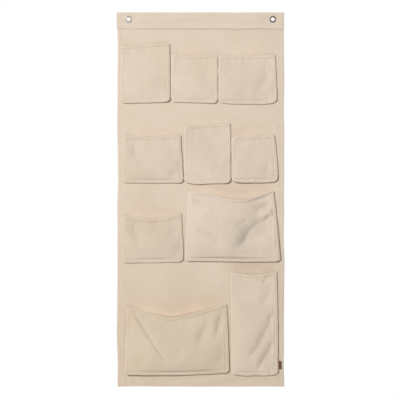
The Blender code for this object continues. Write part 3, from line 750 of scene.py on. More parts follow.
def cloth_solid(name, middle, thickness, uv, materials, flip=False, shade=None, tone_and_painted_light=(1.0, 1.0, 1.0)):
    """A closed sheet with round edges about middle[row, column], thick as said at each point."""
    rows, columns = middle.shape[:2]
    thickness = np.broadcast_to(thickness, (rows, columns))
    shade = np.zeros((rows, columns)) if shade is None else shade
    along = np.gradient(middle, axis=1)
    up = np.gradient(middle, axis=0)
    normal = unit(np.cross(along, up))
    if flip:
        normal = -normal
    half = (thickness / 2)[..., None]
    ring = [(0, c) for c in range(columns)]
    ring += [(r, columns - 1) for r in range(1, rows)]
    ring += [(rows - 1, c) for c in range(columns - 2, -1, -1)]
    ring += [(r, 0) for r in range(rows - 2, 0, -1)]
    ring = np.array(ring)
    r, c = ring[:, 0], ring[:, 1]
    out = np.zeros((len(ring), 3))
    out += np.where(r == 0, -1, np.where(r == rows - 1, 1, 0))[:, None] * square_to(up[r, c], along[r, c])
    out += np.where(c == 0, -1, np.where(c == columns - 1, 1, 0))[:, None] * square_to(along[r, c], up[r, c])
    out = unit(out)
    points = [(middle + normal * half).reshape(-1, 3), (middle - normal * half).reshape(-1, 3)]
    for k in range(1, EDGE_ROUNDS + 1):
        turn = math.pi * k / (EDGE_ROUNDS + 1)
        points.append(middle[r, c] + half[r, c] * (math.cos(turn) * normal[r, c] + math.sin(turn) * out))
    count = rows * columns
    index = np.arange(count).reshape(rows, columns)
    quads = np.stack([index[:-1, :-1], index[:-1, 1:], index[1:, 1:], index[1:, :-1]], -1).reshape(-1, 4)
    faces = [quads, quads[:, ::-1] + count]
    edge = index[r, c]
    added = [2 * count + k * len(ring) + np.arange(len(ring)) for k in range(EDGE_ROUNDS)]
    rounds = [edge, *added, edge + count]
    for a, b in zip(rounds[:-1], rounds[1:]):
        faces.append(np.stack([np.roll(a, -1), a, b, np.roll(b, -1)], -1))
    faces = np.concatenate(faces)
    if flip:
        faces = faces[:, ::-1]
    flat_uv = uv.reshape(-1, 2)
    uvs = np.concatenate([flat_uv, flat_uv] + [uv[r, c]] * EDGE_ROUNDS)
    flat_shade = shade.ravel()
    shades = np.concatenate([flat_shade, flat_shade] + [shade[r, c]] * EDGE_ROUNDS)
    tone_and_painted_light = np.broadcast_to(tone_and_painted_light, (rows, columns, 3))
    flat_tone_and_painted_light = tone_and_painted_light.reshape(-1, 3)
    tones_and_painted_light = np.concatenate([flat_tone_and_painted_light, flat_tone_and_painted_light] + [tone_and_painted_light[r, c]] * EDGE_ROUNDS)
    mesh = mesh_from(name, np.concatenate(points), faces.tolist(), uvs, shades, tones_and_painted_light)
    return new_object(name, mesh, materials)


def arc_lengths(points, axis):
    """Distance along each line of a grid of points."""
    steps = np.linalg.norm(np.diff(points, axis=axis), axis=-1)
    start = np.zeros_like(np.take(steps, [0], axis=axis))
    return np.concatenate([start, np.cumsum(steps, axis=axis)], axis=axis)


def stitch_mesh(name, rows, material):
    """Short threads laid along rows. Each row is its points and the directions that face out of the cloth."""
    all_points, all_faces, count = [], [], 0
    pitch = STITCH_LENGTH + STITCH_GAP
    for points, normals in rows:
        run = np.concatenate([[0], np.cumsum(np.linalg.norm(np.diff(points, axis=0), axis=1))])
        number = int(run[-1] / pitch)
        if number < 1:
            continue
        start = (run[-1] - number * pitch + STITCH_GAP) / 2 + np.arange(number) * pitch
        share = np.linspace(0, 1, THREAD_RINGS)
        places = start[:, None] + share[None] * STITCH_LENGTH
        spine = np.stack([np.interp(places, run, points[:, k]) for k in range(3)], -1)
        normal = unit(np.stack([np.interp(places, run, normals[:, k]) for k in range(3)], -1))
        tangent = unit(spine[:, -1:] - spine[:, :1])
        side = unit(np.cross(normal, np.broadcast_to(tangent, normal.shape)))
        lift = THREAD_RADIUS * (1.5 * np.sin(math.pi * share) ** 0.6 - 0.7)
        spine = spine + normal * lift[None, :, None]
        thick = THREAD_RADIUS * (0.55 + 0.45 * np.sin(math.pi * share) ** 0.5)
        turn = 2 * math.pi * np.arange(THREAD_SIDES) / THREAD_SIDES
        cosine, sine = (wave(turn)[None, None, :, None] for wave in (np.cos, np.sin))
        ring = cosine * side[:, :, None] + sine * normal[:, :, None]
        tube = spine[:, :, None] + ring * thick[None, :, None, None]
        size = number * THREAD_RINGS * THREAD_SIDES
        base = count + np.arange(size).reshape(number, THREAD_RINGS, THREAD_SIDES)
        beside = np.roll(base, -1, axis=2)
        quads = np.stack([base[:, :-1], beside[:, :-1], beside[:, 1:], base[:, 1:]], -1)
        all_points.append(tube.reshape(-1, 3))
        all_faces += quads.reshape(-1, 4).tolist()
        all_faces += base[:, 0, ::-1].tolist()
        all_faces += base[:, -1].tolist()
        count += size
    points = np.concatenate(all_points)
    mesh = mesh_from(name, points, all_faces, points[:, [0, 2]])
    return new_object(name, mesh, [material])


def canvas_material(name, colour, seed):
    """Plain weave along the cloth's own map, with slubs, slow stains, faint flecks and paler worn ridges."""
    made = bpy.data.materials.new(name)
    made.use_nodes = True
    nodes, links = made.node_tree.nodes, made.node_tree.links
    shader = nodes["Principled BSDF"]
    shader.inputs["Sheen Weight"].default_value = 0.18
    shader.inputs["Sheen Roughness"].default_value = 0.55
    shader.inputs["Specular IOR Level"].default_value = 0.22

    def math_node(operation, a, b=None, clamp=False):
        node = nodes.new("ShaderNodeMath")
        node.operation = operation
        node.use_clamp = clamp
        for socket, value in zip(node.inputs, (a, b)):
            if value is None:
                continue
            if isinstance(value, (int, float)):
                socket.default_value = value
            else:
                links.new(value, socket)
        return node.outputs[0]

    uv = nodes.new("ShaderNodeUVMap")
    uv.uv_map = "cloth"
    split = nodes.new("ShaderNodeSeparateXYZ")
    links.new(uv.outputs["UV"], split.inputs[0])
    u = math_node("MULTIPLY", split.outputs["X"], 1 / THREAD_PITCH)
    v = math_node("MULTIPLY", split.outputs["Y"], 1 / THREAD_PITCH)

    def bulge(place):
        return math_node("ABSOLUTE", math_node("SINE", math_node("MULTIPLY", place, math.pi)))

    over = math_node("FLOORED_MODULO", math_node("ADD", math_node("FLOOR", u), math_node("FLOOR", v)), 2)
    bulge_u, bulge_v = bulge(u), bulge(v)
    warp = math_node("MULTIPLY", bulge_u, math_node("ADD", math_node("MULTIPLY", bulge_v, 0.45), 0.55))
    weft = math_node("MULTIPLY", bulge_v, math_node("ADD", math_node("MULTIPLY", bulge_u, 0.45), 0.55))
    under = math_node("SUBTRACT", 1.0, over)
    weave = math_node("ADD", math_node("MULTIPLY", warp, over), math_node("MULTIPLY", weft, under))

    def stretched_noise(scale_u, scale_v, detail):
        mapping = nodes.new("ShaderNodeMapping")
        mapping.inputs["Location"].default_value = (0.37 * seed, 0.61 * seed, 0.0)
        mapping.inputs["Scale"].default_value = (scale_u, scale_v, 1.0)
        links.new(uv.outputs["UV"], mapping.inputs["Vector"])
        texture = nodes.new("ShaderNodeTexNoise")
        texture.inputs["Scale"].default_value = 1.0
        texture.inputs["Detail"].default_value = detail
        links.new(mapping.outputs["Vector"], texture.inputs["Vector"])
        return texture.outputs["Fac"]

    slub_u = stretched_noise(1 / SLUB_LENGTH, 1 / SLUB_WIDTH, 1)
    slub_v = stretched_noise(1 / SLUB_WIDTH, 1 / SLUB_LENGTH, 1)
    stain_and_shadow = stretched_noise(11, 11, 3)
    fleck = stretched_noise(420, 420, 0)

    slubs = math_node("ADD", slub_u, slub_v)
    height = math_node("ADD", weave, math_node("MULTIPLY", slubs, 0.9))
    bump = nodes.new("ShaderNodeBump")
    bump.inputs["Strength"].default_value = 0.75
    bump.inputs["Distance"].default_value = 0.00028
    links.new(height, bump.inputs["Height"])
    links.new(bump.outputs["Normal"], shader.inputs["Normal"])

    worn = nodes.new("ShaderNodeAttribute")
    worn.attribute_name = "worn"
    value = math_node("ADD", 0.905, math_node("MULTIPLY", math_node("SUBTRACT", slubs, 1.0), 0.11))
    value = math_node("ADD", value, math_node("MULTIPLY", math_node("SUBTRACT", stain_and_shadow, 0.5), 0.12))
    value = math_node("ADD", value, math_node("MULTIPLY", weave, 0.10))
    value = math_node("ADD", value, math_node("MULTIPLY", worn.outputs["Fac"], 0.045))
    speck = math_node("MULTIPLY", math_node("SUBTRACT", fleck, 0.79, clamp=True), 2.2)
    value = math_node("SUBTRACT", value, speck, clamp=False)

    shift = nodes.new("ShaderNodeHueSaturation")
    shift.inputs["Color"].default_value = colour
    stained = math_node("MULTIPLY", math_node("SUBTRACT", 0.5, stain_and_shadow), 0.35)
    links.new(math_node("ADD", 1.06, stained), shift.inputs["Saturation"])
    links.new(value, shift.inputs["Value"])
    # Each point's tone with painted light and shade multiplies the colour.
    tone_and_light_tint = nodes.new("ShaderNodeAttribute")
    tone_and_light_tint.attribute_name = "tone_and_painted_light"
    tint = nodes.new("ShaderNodeMix")
    tint.data_type = "RGBA"
    tint.blend_type = "MULTIPLY"
    tint.inputs["Factor"].default_value = 1.0
    links.new(tone_and_light_tint.outputs["Color"], tint.inputs["B"])
    links.new(shift.outputs["Color"], tint.inputs["A"])
    links.new(tint.outputs["Result"], shader.inputs["Base Color"])
    links.new(math_node("SUBTRACT", 0.98, math_node("MULTIPLY", weave, 0.10)), shader.inputs["Roughness"])
    return made


def thread_material(colour):
    made = bpy.data.materials.new("cotton_thread")
    made.use_nodes = True
    nodes, links = made.node_tree.nodes, made.node_tree.links
    shader = nodes["Principled BSDF"]
    shader.inputs["Sheen Weight"].default_value = 0.15
    place = nodes.new("ShaderNodeTexCoord")
    wave = nodes.new("ShaderNodeTexWave")
    wave.wave_type = "BANDS"
    wave.bands_direction = "DIAGONAL"
    wave.inputs["Scale"].default_value = 900
    wave.inputs["Distortion"].default_value = 1.5
    links.new(place.outputs["Object"], wave.inputs["Vector"])
    bump = nodes.new("ShaderNodeBump")
    bump.inputs["Strength"].default_value = 0.6
    bump.inputs["Distance"].default_value = 0.00012
    links.new(wave.outputs["Fac"], bump.inputs["Height"])
    links.new(bump.outputs["Normal"], shader.inputs["Normal"])
    ramp = nodes.new("ShaderNodeValToRGB")
    ramp.color_ramp.elements[0].color = [c * 0.86 for c in colour[:3]] + [1.0]
    ramp.color_ramp.elements[1].color = colour
    links.new(wave.outputs["Fac"], ramp.inputs["Fac"])
    links.new(ramp.outputs["Color"], shader.inputs["Base Color"])
    links.new(math_node_value(nodes, links, wave.outputs["Fac"], -0.15, 0.85), shader.inputs["Roughness"])
    return made


def math_node_value(nodes, links, source, factor, offset):
    """source * factor + offset."""
    node = nodes.new("ShaderNodeMath")
    node.operation = "MULTIPLY_ADD"
    node.inputs[1].default_value = factor
    node.inputs[2].default_value = offset
    links.new(source, node.inputs[0])
    return node.outputs[0]


def nickel_material(name, dark, light):
    """Tarnished plating with faint turning marks and small scratches, between a dark and a light colour given
    for each eyelet; how the two eyelets' colours differ is painted reflection.
    """
    made = bpy.data.materials.new(name)
    made.use_nodes = True
    nodes, links = made.node_tree.nodes, made.node_tree.links
    shader = nodes["Principled BSDF"]
    shader.inputs["Metallic"].default_value = 1.0
    place = nodes.new("ShaderNodeTexCoord")
    marks = nodes.new("ShaderNodeTexNoise")
    marks.inputs["Scale"].default_value = 900
    marks.inputs["Detail"].default_value = 4
    links.new(place.outputs["Object"], marks.inputs["Vector"])
    tarnish = nodes.new("ShaderNodeTexNoise")
    tarnish.inputs["Scale"].default_value = 140
    tarnish.inputs["Detail"].default_value = 3
    links.new(place.outputs["Object"], tarnish.inputs["Vector"])
    ramp = nodes.new("ShaderNodeValToRGB")
    ramp.color_ramp.elements[0].position = 0.32
    ramp.color_ramp.elements[0].color = dark
    ramp.color_ramp.elements[1].position = 0.62
    ramp.color_ramp.elements[1].color = light
    links.new(tarnish.outputs["Fac"], ramp.inputs["Fac"])
    links.new(ramp.outputs["Color"], shader.inputs["Base Color"])
    links.new(math_node_value(nodes, links, marks.outputs["Fac"], 0.22, 0.24), shader.inputs["Roughness"])
    bump = nodes.new("ShaderNodeBump")
    bump.inputs["Strength"].default_value = 0.25
    bump.inputs["Distance"].default_value = 0.00004
    links.new(marks.outputs["Fac"], bump.inputs["Height"])
    links.new(bump.outputs["Normal"], shader.inputs["Normal"])
    return made


def leather_material():
    """Smooth brown leather with pores, and darker cut edges."""
    made = bpy.data.materials.new("brown_leather")
    made.use_nodes = True
    nodes, links = made.node_tree.nodes, made.node_tree.links
    shader = nodes["Principled BSDF"]
    shader.inputs["Specular IOR Level"].default_value = 0.35
    place = nodes.new("ShaderNodeTexCoord")
    pores = nodes.new("ShaderNodeTexVoronoi")
    pores.inputs["Scale"].default_value = 1700
    links.new(place.outputs["Object"], pores.inputs["Vector"])
    clouds = nodes.new("ShaderNodeTexNoise")
    clouds.inputs["Scale"].default_value = 260
    clouds.inputs["Detail"].default_value = 4
    links.new(place.outputs["Object"], clouds.inputs["Vector"])
    ramp = nodes.new("ShaderNodeValToRGB")
    ramp.color_ramp.elements[0].position = 0.3
    ramp.color_ramp.elements[0].color = (0.120, 0.050, 0.024, 1)
    ramp.color_ramp.elements[1].position = 0.7
    ramp.color_ramp.elements[1].color = (0.200, 0.088, 0.044, 1)
    links.new(clouds.outputs["Fac"], ramp.inputs["Fac"])
    worn = nodes.new("ShaderNodeAttribute")
    worn.attribute_name = "worn"
    mix = nodes.new("ShaderNodeMix")
    mix.data_type = "RGBA"
    mix.inputs["B"].default_value = (0.085, 0.034, 0.018, 1)
    links.new(worn.outputs["Fac"], mix.inputs["Factor"])
    links.new(ramp.outputs["Color"], mix.inputs["A"])
    links.new(mix.outputs["Result"], shader.inputs["Base Color"])
    bump = nodes.new("ShaderNodeBump")
    bump.inputs["Strength"].default_value = 0.5
    bump.inputs["Distance"].default_value = 0.00008
    links.new(pores.outputs["Distance"], bump.inputs["Height"])
    links.new(bump.outputs["Normal"], shader.inputs["Normal"])
    links.new(math_node_value(nodes, links, clouds.outputs["Fac"], 0.25, 0.42), shader.inputs["Roughness"])
    return made


CANVAS = (0.735, 0.629, 0.519, 1.0)
THREAD = (0.770, 0.670, 0.570, 1.0)
panel_canvas = canvas_material("canvas_panel", CANVAS, 1)
band_canvas = canvas_material("canvas_band", CANVAS, 2)
front_canvas = [canvas_material("canvas_front_" + name, CANVAS, 3 + i) for i, name in enumerate(POCKET_NAMES)]
gusset_canvas = canvas_material("canvas_gusset", CANVAS, 20)
cotton_thread = thread_material(THREAD)
# Both eyelets are the same plating: their different colours, paler left and darker right, are painted
# reflection.
NICKEL_BY_REFLECTION = {
    "left": nickel_material("nickel_left_pale_reflection", (0.20, 0.185, 0.16, 1), (0.40, 0.385, 0.355, 1)),
    "right": nickel_material("nickel_right_dark_reflection", (0.055, 0.047, 0.038, 1), (0.15, 0.135, 0.115, 1)),
}
leather = leather_material()


def drilled(obj):
    """The sheet with the eyelets' holes cut through it."""
    for side, place in EYELETS.items():
        bpy.ops.mesh.primitive_cylinder_add(
            vertices=48, radius=0.0060, depth=0.04,
            location=(place.x, 0, place.z), rotation=(math.pi / 2, 0, 0),
        )
        cutter = bpy.context.object
        cut = obj.modifiers.new("hole_" + side, "BOOLEAN")
        cut.operation = "DIFFERENCE"
        cut.solver = "EXACT"
        cut.object = cutter
        bpy.context.view_layer.update()
        apply_modifiers(obj)
        bpy.data.objects.remove(cutter, do_unlink=True)
    return obj


def apply_modifiers(obj):
    graph = bpy.context.evaluated_depsgraph_get()
    made = obj.evaluated_get(graph)
    mesh = bpy.data.meshes.new_from_object(made, preserve_all_data_layers=True, depsgraph=graph)
    old = obj.data
    obj.modifiers.clear()
    obj.data = mesh
    mesh.name = obj.name
    bpy.data.meshes.remove(old)


def fold_line(outer, inner, level_in, level_out, steps):
    """A hem's section from its free end to its fold and round it, as (place, level)."""
    sign = 1 if outer > inner else -1
    radius = (level_out - level_in) / 2
    centre = outer - sign * (radius + CLOTH / 2)
    turn = np.linspace(0, math.pi, steps + 1)
    places = np.concatenate([np.linspace(inner, centre, 4)[:-1], centre + sign * radius * np.sin(turn)])
    levels = np.concatenate([[level_in] * 3, (level_in + level_out) / 2 - radius * np.cos(turn)])
    return places, levels


def hem_relief(distance, row):
    """Height of the cloth beside a hem's edge: a shallow trough with the groove of its stitches."""
    trough = -0.00040 * np.exp(-(((distance - row) / 0.0042) ** 2))
    return trough - 0.00020 * np.exp(-(((distance - row) / 0.0011) ** 2))


# Low waves of the hanging sheet: start and end across and up, height and reach
PANEL_WAVES = (
    (-0.040, -0.990, 0.105, -0.966, 0.0016, 0.007),
    (0.020, -0.992, 0.150, -0.975, -0.0008, 0.006),
    (-0.200, -0.900, -0.216, -0.850, 0.0008, 0.006),
    (-0.205, -0.735, -0.215, -0.690, 0.0008, 0.006),
    (0.205, -0.690, 0.217, -0.655, 0.0008, 0.006),
)

SIDE_ROW = 0.0090
BOTTOM_ROW = 0.0165
BOTTOM_RISE = 0.0013


# What the panel's colour is multiplied by in its painted warm shade above a mouth, and how far up from a
# mouth each effect reaches
WARM_SHADE_TINT = (1.0, 0.950, 0.900)
WARM_MIDDLE = 0.018
WARM_REACH = 0.022
PALE_REACH = 0.013


def above_mouths(x, z):
    """How much painted warm shade, how much painted light and how far swollen forward the panel is above the
    mouths.
    """
    warm_shade, pale, swell = 0.0, 0.0, 0.0
    for front in fronts:
        warm_shade_share, mouth_light_share, height = ABOVE_MOUTH[front.name]
        across = (x - front.left) / front.width
        above = z - front.mouth(np.clip(across, 0, 1))
        inside = smooth(across / 0.16) * smooth((1 - across) / 0.16)
        warm_shade = warm_shade + warm_shade_share * inside * np.exp(-(((above - WARM_MIDDLE) / WARM_REACH) ** 2))
        pale = pale + mouth_light_share * inside * np.exp(-((above / PALE_REACH) ** 2))
        forward = smooth((across - 0.15) / 0.15) * smooth((0.85 - across) / 0.15)
        forward = forward * smooth((above + 0.004) / 0.008)
        swell = swell + MM * height * forward * np.exp(-((above / WARM_REACH) ** 2))
    return np.clip(warm_shade, 0, 1), pale, swell


def panel_painted_light(x, z):
    """What the panel's canvas colour is multiplied by: painted shade, darker and warmer towards its bottom, a
    painted shadow below a pocket's floor, and painted warm shade and painted light above the mouths.
    """
    up = (z - PANEL_LOW.z) / (PANEL_HIGH.z - PANEL_LOW.z)
    shares = [share for share, _ in PANEL_SHADE_RAMP]
    tone_and_light_tint = np.stack([np.interp(up, shares, [tint[k] for _, tint in PANEL_SHADE_RAMP]) for k in range(3)], -1)
    # Painted shadow on the panel below a pocket's floor.
    for middle_x, middle_z, reach_x, reach_z, dark in PANEL_PAINTED_SHADOWS:
        stain_and_shadow = dark * np.exp(-((np.abs(x - middle_x) / reach_x) ** 3) - ((z - middle_z) / reach_z) ** 2)
        tone_and_light_tint = tone_and_light_tint * (1 - stain_and_shadow[..., None])
    # Painted warm shade above the mouths, and painted light right at them.
    warm_shade, pale, _ = above_mouths(x, z)
    return tone_and_light_tint * (1 + (np.array(WARM_SHADE_TINT) - 1) * warm_shade[..., None]) * (1 + pale[..., None])


def panel_relief(x, z):
    """How far the hanging sheet departs from its level: hems, small waves and swells above the mouths."""
    side = HALF_WIDTH - np.abs(x)
    low = z - PANEL_LOW.z
    relief = hem_relief(side, SIDE_ROW) + hem_relief(low, BOTTOM_ROW)
    ripple = 0.00035 * noise(z, 0 * z, 0.018, 31) * np.exp(-np.abs(side - SIDE_ROW) / 0.006)
    ripple = ripple + 0.0004 * noise(x, 0 * x, 0.024, 32) * np.exp(-np.abs(low - BOTTOM_ROW) / 0.009)
    for start_x, start_z, end_x, end_z, height, reach in PANEL_WAVES:
        off, along = beside_path(x, z, np.array(((start_x, start_z), (end_x, end_z))))
        ripple = ripple + height * np.sin(math.pi * along) * np.exp(-((off / reach) ** 2))
    below_band = smooth((BAND_LOW.z - z) / 0.006)
    return (relief + ripple) * below_band + above_mouths(x, z)[2]


def panel_level(x, z):
    """Level of the hanging sheet's middle between its hems."""
    return PANEL_LEVEL + panel_relief(x, z) + sway(x, z)


def build_panel():
    """The hanging sheet with its side hems and bottom hem turned to the back."""
    side_places, side_levels = fold_line(HALF_WIDTH, HALF_WIDTH - SIDE_HEM, HEM_LEVEL, PANEL_LEVEL, 6)
    near = HALF_WIDTH - np.array(SIDE_LINES)
    steps = round(2 * near[-1] / PANEL_STEP)
    middle = np.linspace(-near[-1], near[-1], steps + 1)[1:-1]
    half = np.concatenate([side_places, near])
    across = np.concatenate([-half, middle, half[::-1]])
    level_half = np.concatenate([side_levels, [PANEL_LEVEL] * len(near)])
    across_levels = np.concatenate([level_half, [PANEL_LEVEL] * len(middle), level_half[::-1]])
    low = PANEL_LOW.z
    low_places, low_levels = fold_line(low, low + BOTTOM_HEM, HEM_LEVEL, PANEL_LEVEL, 6)
    near = low + np.array(BOTTOM_LINES)
    top = BAND_HIGH.z - (FACING_LEVEL - HEM_LEVEL) / 2 - CLOTH - CAD_CLOTH / 2
    facing = BAND_LOW.z - 0.0012
    steps = round((facing - near[-1]) / PANEL_STEP)
    open_cloth = np.linspace(near[-1], facing, steps + 1)[1:]
    up = np.concatenate([low_places, near, open_cloth, np.linspace(facing, top, 10)[1:]])
    up_levels = np.concatenate([low_levels, [PANEL_LEVEL] * (len(up) - len(low_levels))])
    x, z = np.meshgrid(across, up)
    folded = np.minimum(across_levels[None, :], up_levels[:, None])
    level = folded + panel_relief(x, z) + sway(x, z)
    uv = np.stack(np.meshgrid(arc_run(across, across_levels), arc_run(up, up_levels)), -1)
    x = x + side_stray(x, z)
    z = z + (BOTTOM_RISE + 0.0004 * noise(x, 0 * x, 0.16, 9)) * smooth((low + 0.06 - z) / 0.06)
    points = np.stack([x, -level, z], -1)
    order = np.arange(len(across))
    in_side = np.minimum(order, order[::-1]) < len(side_places)
    in_low = np.arange(len(up)) < len(low_places)
    in_band = up > facing + 1e-6
    index = np.arange(x.size).reshape(x.shape)
    faces = []
    for row in range(len(up) - 1):
        bare = in_low[row] or in_band[row + 1]
        for column in range(len(across) - 1):
            if bare and in_side[column] and in_side[column + 1]:
                continue
            below, above = index[row, column : column + 2], index[row + 1, column : column + 2]
            faces.append([*below, *above[::-1]])
    used = np.unique(np.array(faces))
    renumber = np.full(x.size, -1)
    renumber[used] = np.arange(len(used))
    faces = renumber[np.array(faces)]
    tone_and_painted_light = panel_painted_light(points[..., 0], points[..., 2]).reshape(-1, 3)[used]
    mesh = mesh_from(
        "panel_sheet", points.reshape(-1, 3)[used], faces.tolist(), uv.reshape(-1, 2)[used],
        np.zeros(len(used)), tone_and_painted_light,
    )
    obj = new_object("panel_sheet", mesh, [panel_canvas])
    thick = obj.modifiers.new("cloth", "SOLIDIFY")
    thick.thickness = CLOTH
    thick.offset = 0
    thick.use_even_offset = True
    bpy.context.view_layer.update()
    apply_modifiers(obj)
    return drilled(obj)


def arc_run(places, levels):
    steps = np.hypot(np.diff(places), np.diff(levels))
    return np.concatenate([[0], np.cumsum(steps)])


BAND_SEAM = 0.0135
BAND_PUFF = 0.0026


def band_level(x, z):
    """Level of the band's front leg: puffed at its middle, sewn along a row above its edge."""
    low = z - BAND_LOW.z
    puff = BAND_PUFF * smooth((low - BAND_SEAM) / 0.019) * smooth((BAND_HIGH.z - z) / 0.020)
    puff = puff * (1 + 0.25 * noise(x, 0.5 * x, 0.09, 41)) * calm_at_eyelets(x, z)
    flare = 0.0014 * smooth((BAND_SEAM - low) / 0.0095)
    groove = -0.0004 * np.exp(-(((low - BAND_SEAM) / 0.0014) ** 2))
    ripple = 0.0003 * noise(x, 0 * x, 0.016, 42) * np.exp(-np.abs(low - BAND_SEAM) / 0.007)
    relief = 0.0002 + puff + (flare + groove + ripple) * calm_at_eyelets(x, z)
    return FACING_LEVEL + soft_maximum(relief, -0.0002, 0.0004) + sway(x, z)


def calm_at_eyelets(x, z):
    calm = 1.0
    for place in EYELETS.values():
        calm = calm * smooth(np.hypot(x - place.x, z - place.z) / EYELET_CALM - 0.35)
    return calm


def build_band():
    """The strip over the panel's top edge: back leg, fold and front leg."""
    top = BAND_HIGH.z
    places, levels = fold_line(top, BAND_LOW.z, HEM_LEVEL, FACING_LEVEL, 10)
    back = np.linspace(BAND_LOW.z, places[3], 12)[:-1]
    near = BAND_LOW.z + np.array(BAND_LINES)
    front = np.linspace(places[-1], near[0], 14)[1:-1]
    z_run = np.concatenate([back, places[3:], front, near])
    faced = [FACING_LEVEL] * (len(front) + len(near))
    level_run = np.concatenate([[HEM_LEVEL] * len(back), levels[3:], faced])
    half = BAND_HIGH.x
    x_run = np.linspace(-half, half, round(2 * half / BAND_STEP) + 1)
    x, z = np.meshgrid(x_run, z_run)
    base = np.broadcast_to(level_run[:, None], x.shape)
    front_part = smooth((base - HEM_LEVEL) / (FACING_LEVEL - HEM_LEVEL))
    level = base + front_part * (band_level(x, z) - FACING_LEVEL) + (1 - front_part) * sway(x, z)
    uv = np.stack(np.meshgrid(x_run, arc_run(z_run, level_run)), -1)
    z = z + 0.0003 * noise(x, 0 * x, 0.11, 43) * calm_at_eyelets(x, z)
    x = x + side_stray(x, z)
    worn = np.exp(-((z - top) / 0.0015) ** 2) + np.exp(-((z - BAND_LOW.z) / 0.0018) ** 2) * front_part
    points = np.stack([x, -level, z], -1)
    obj = cloth_solid(
        "band_strip", points, CLOTH, uv, [band_canvas], flip=True, shade=worn, tone_and_painted_light=BAND_PAINTED_LIGHT
    )
    return drilled(obj)


CORNER_EASE = 0.045


def eased(distance):
    """How much a grid line this far inside moves when its end moves in round a corner."""
    return np.clip(1 - distance / CORNER_EASE, 0, 1) ** 2


def build_front(front):
    """One pocket front: a closed sheet with a pinched rim, a hemmed mouth and the folds of its slack."""
    across_lines = grid_lines(EDGE_LINES, EDGE_LINES, front.width, FRONT_STEP) / front.width
    up_lines = grid_lines(EDGE_LINES, MOUTH_LINES, front.height, FRONT_STEP)[:, None]
    share = up_lines / front.height
    kept_low = smooth((share - 0.05) / 0.2)
    kept_high = smooth((0.95 - share) / 0.2)
    high = front.mouth(across_lines[None, :])
    x = np.broadcast_to(front.left + front.width * across_lines, (len(up_lines), len(across_lines)))
    for _ in range(4):
        low = front.floor_seam(x)
        z_row = (1 - kept_low) * (low + up_lines) + kept_low * (low + share * (high - low))
        z_row = kept_high * z_row + (1 - kept_high) * (high - (front.height - up_lines))
        left, right = front.left_line(z_row), front.right_line(z_row)
        inside = (right - left) * across_lines
        cut_left = front.corner_cut(z_row[:, :1], front.low_left) * eased(inside)
        cut_right = front.corner_cut(z_row[:, -1:], front.low_right) * eased(right - left - inside)
        x = left + inside + cut_left - cut_right
    outer = front.outer(x, z_row)
    thick = front.thickness(x, z_row)
    middle = np.stack([x, outer + thick / 2, z_row], -1)
    uv = np.stack([arc_lengths(middle, 1), arc_lengths(middle, 0)], -1)
    edge = front.edge_distance(x, z_row)
    under = front.mouth(front.across(x, z_row)) - z_row
    worn = np.maximum(0.6 * smooth((0.005 - edge) / 0.003), 0.5 * smooth((0.0028 - under) / 0.002))
    name = "cloth_front_" + front.name
    tone_and_painted_light = front.tone_and_painted_light(x, z_row)
    obj = cloth_solid(name, middle, thick, uv, [front_canvas[front.number]], shade=worn, tone_and_painted_light=tone_and_painted_light)
    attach(obj, "front_" + front.name)
    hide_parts("front_" + front.name)
    return obj


def surface_row(front, x, z):
    """Points on a front's outer face, and the directions that face out of it."""
    step = 0.0015
    y = front.outer(x, z)
    slope_x = (front.outer(x + step, z) - front.outer(x - step, z)) / (2 * step)
    slope_z = (front.outer(x, z + step) - front.outer(x, z - step)) / (2 * step)
    normal = unit(np.stack([slope_x, -np.ones_like(x), slope_z], -1))
    return np.stack([x, y, z], -1), normal


def build_front_stitches(front):
    """Stitches along the rim and under the mouth of one front."""
    x, z = front.seam_path(RIM_ROW, RUN_STEP)
    inside = z < front.mouth(front.across(x, z)) - 0.0015
    rows = [surface_row(front, x[inside], z[inside])]
    across = np.linspace(0.0, 1.0, round(front.width / RUN_STEP))
    span = front.width - front.draw_left - front.draw_right - 2 * RIM_ROW
    x = front.left + front.draw_left + RIM_ROW + across * span
    z = front.mouth(front.across(x, front.mouth(across))) - MOUTH_ROW
    rows.append(surface_row(front, x, z))
    obj = stitch_mesh("stitches_front_" + front.name, rows, cotton_thread)
    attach(obj, "front_" + front.name)
    return obj


FLANGE_INSETS = (0.0, 0.0015, 0.003, 0.0045, 0.0055)
LEG_STEPS = 6
TIP_STEPS = 4


def gusset_legs():
    """(inset, level, level) of the strip's two legs: flanges on panel and rim, then inwards to the fold."""
    middle = (FACING_LEVEL + RIM_LEVEL) / 2
    legs = [(inset, FACING_LEVEL, RIM_LEVEL) for inset in FLANGE_INSETS]
    for t in np.linspace(0, 1, LEG_STEPS + 1)[1:]:
        inset = GUSSET_FLANGE + (GUSSET_FOLD - GUSSET_TIP) * t
        low = FACING_LEVEL + (middle - GUSSET_TIP - FACING_LEVEL) * t**0.8
        legs.append((inset, low, RIM_LEVEL + FACING_LEVEL - low))
    return legs


FLANGE_ROWS = 5
PLANE_ROUNDS = 60


def middle_plane(x, z, least, most):
    """Level, tilt across and tilt upwards of the plane that stays nearest to the room between two levels."""
    sides = np.stack([np.ones_like(x), x, z], -1)
    level = (least + most) / 2
    for _ in range(PLANE_ROUNDS):
        plane = np.linalg.lstsq(sides, level, rcond=None)[0]
        level = np.clip(sides @ plane, least, most)
    return plane


def between_legs(front, plane, low, high):
    """Start and end of the slab over which the strip changes from the panel's body to the front's.

    Some places of the front's flange lie inside it, and part from the front when the pocket is open.
    """
    level, tilt_x, tilt_z = plane

    def beyond(points):
        return -points[..., 1] - (level + tilt_x * points[..., 0] + tilt_z * points[..., 2])

    half = max(min(-beyond(low).max(), beyond(high).min()) - GUSSET_CLOTH / 2, CLEAR)
    x, z = (front.left + front.right) / 2, front.floor
    across = np.array([-tilt_x, -1.0, -tilt_z])
    start = np.array([x, -(level + tilt_x * x + tilt_z * z - half), z])
    return tuple(start), tuple(start + 2 * half * across / (across @ across))


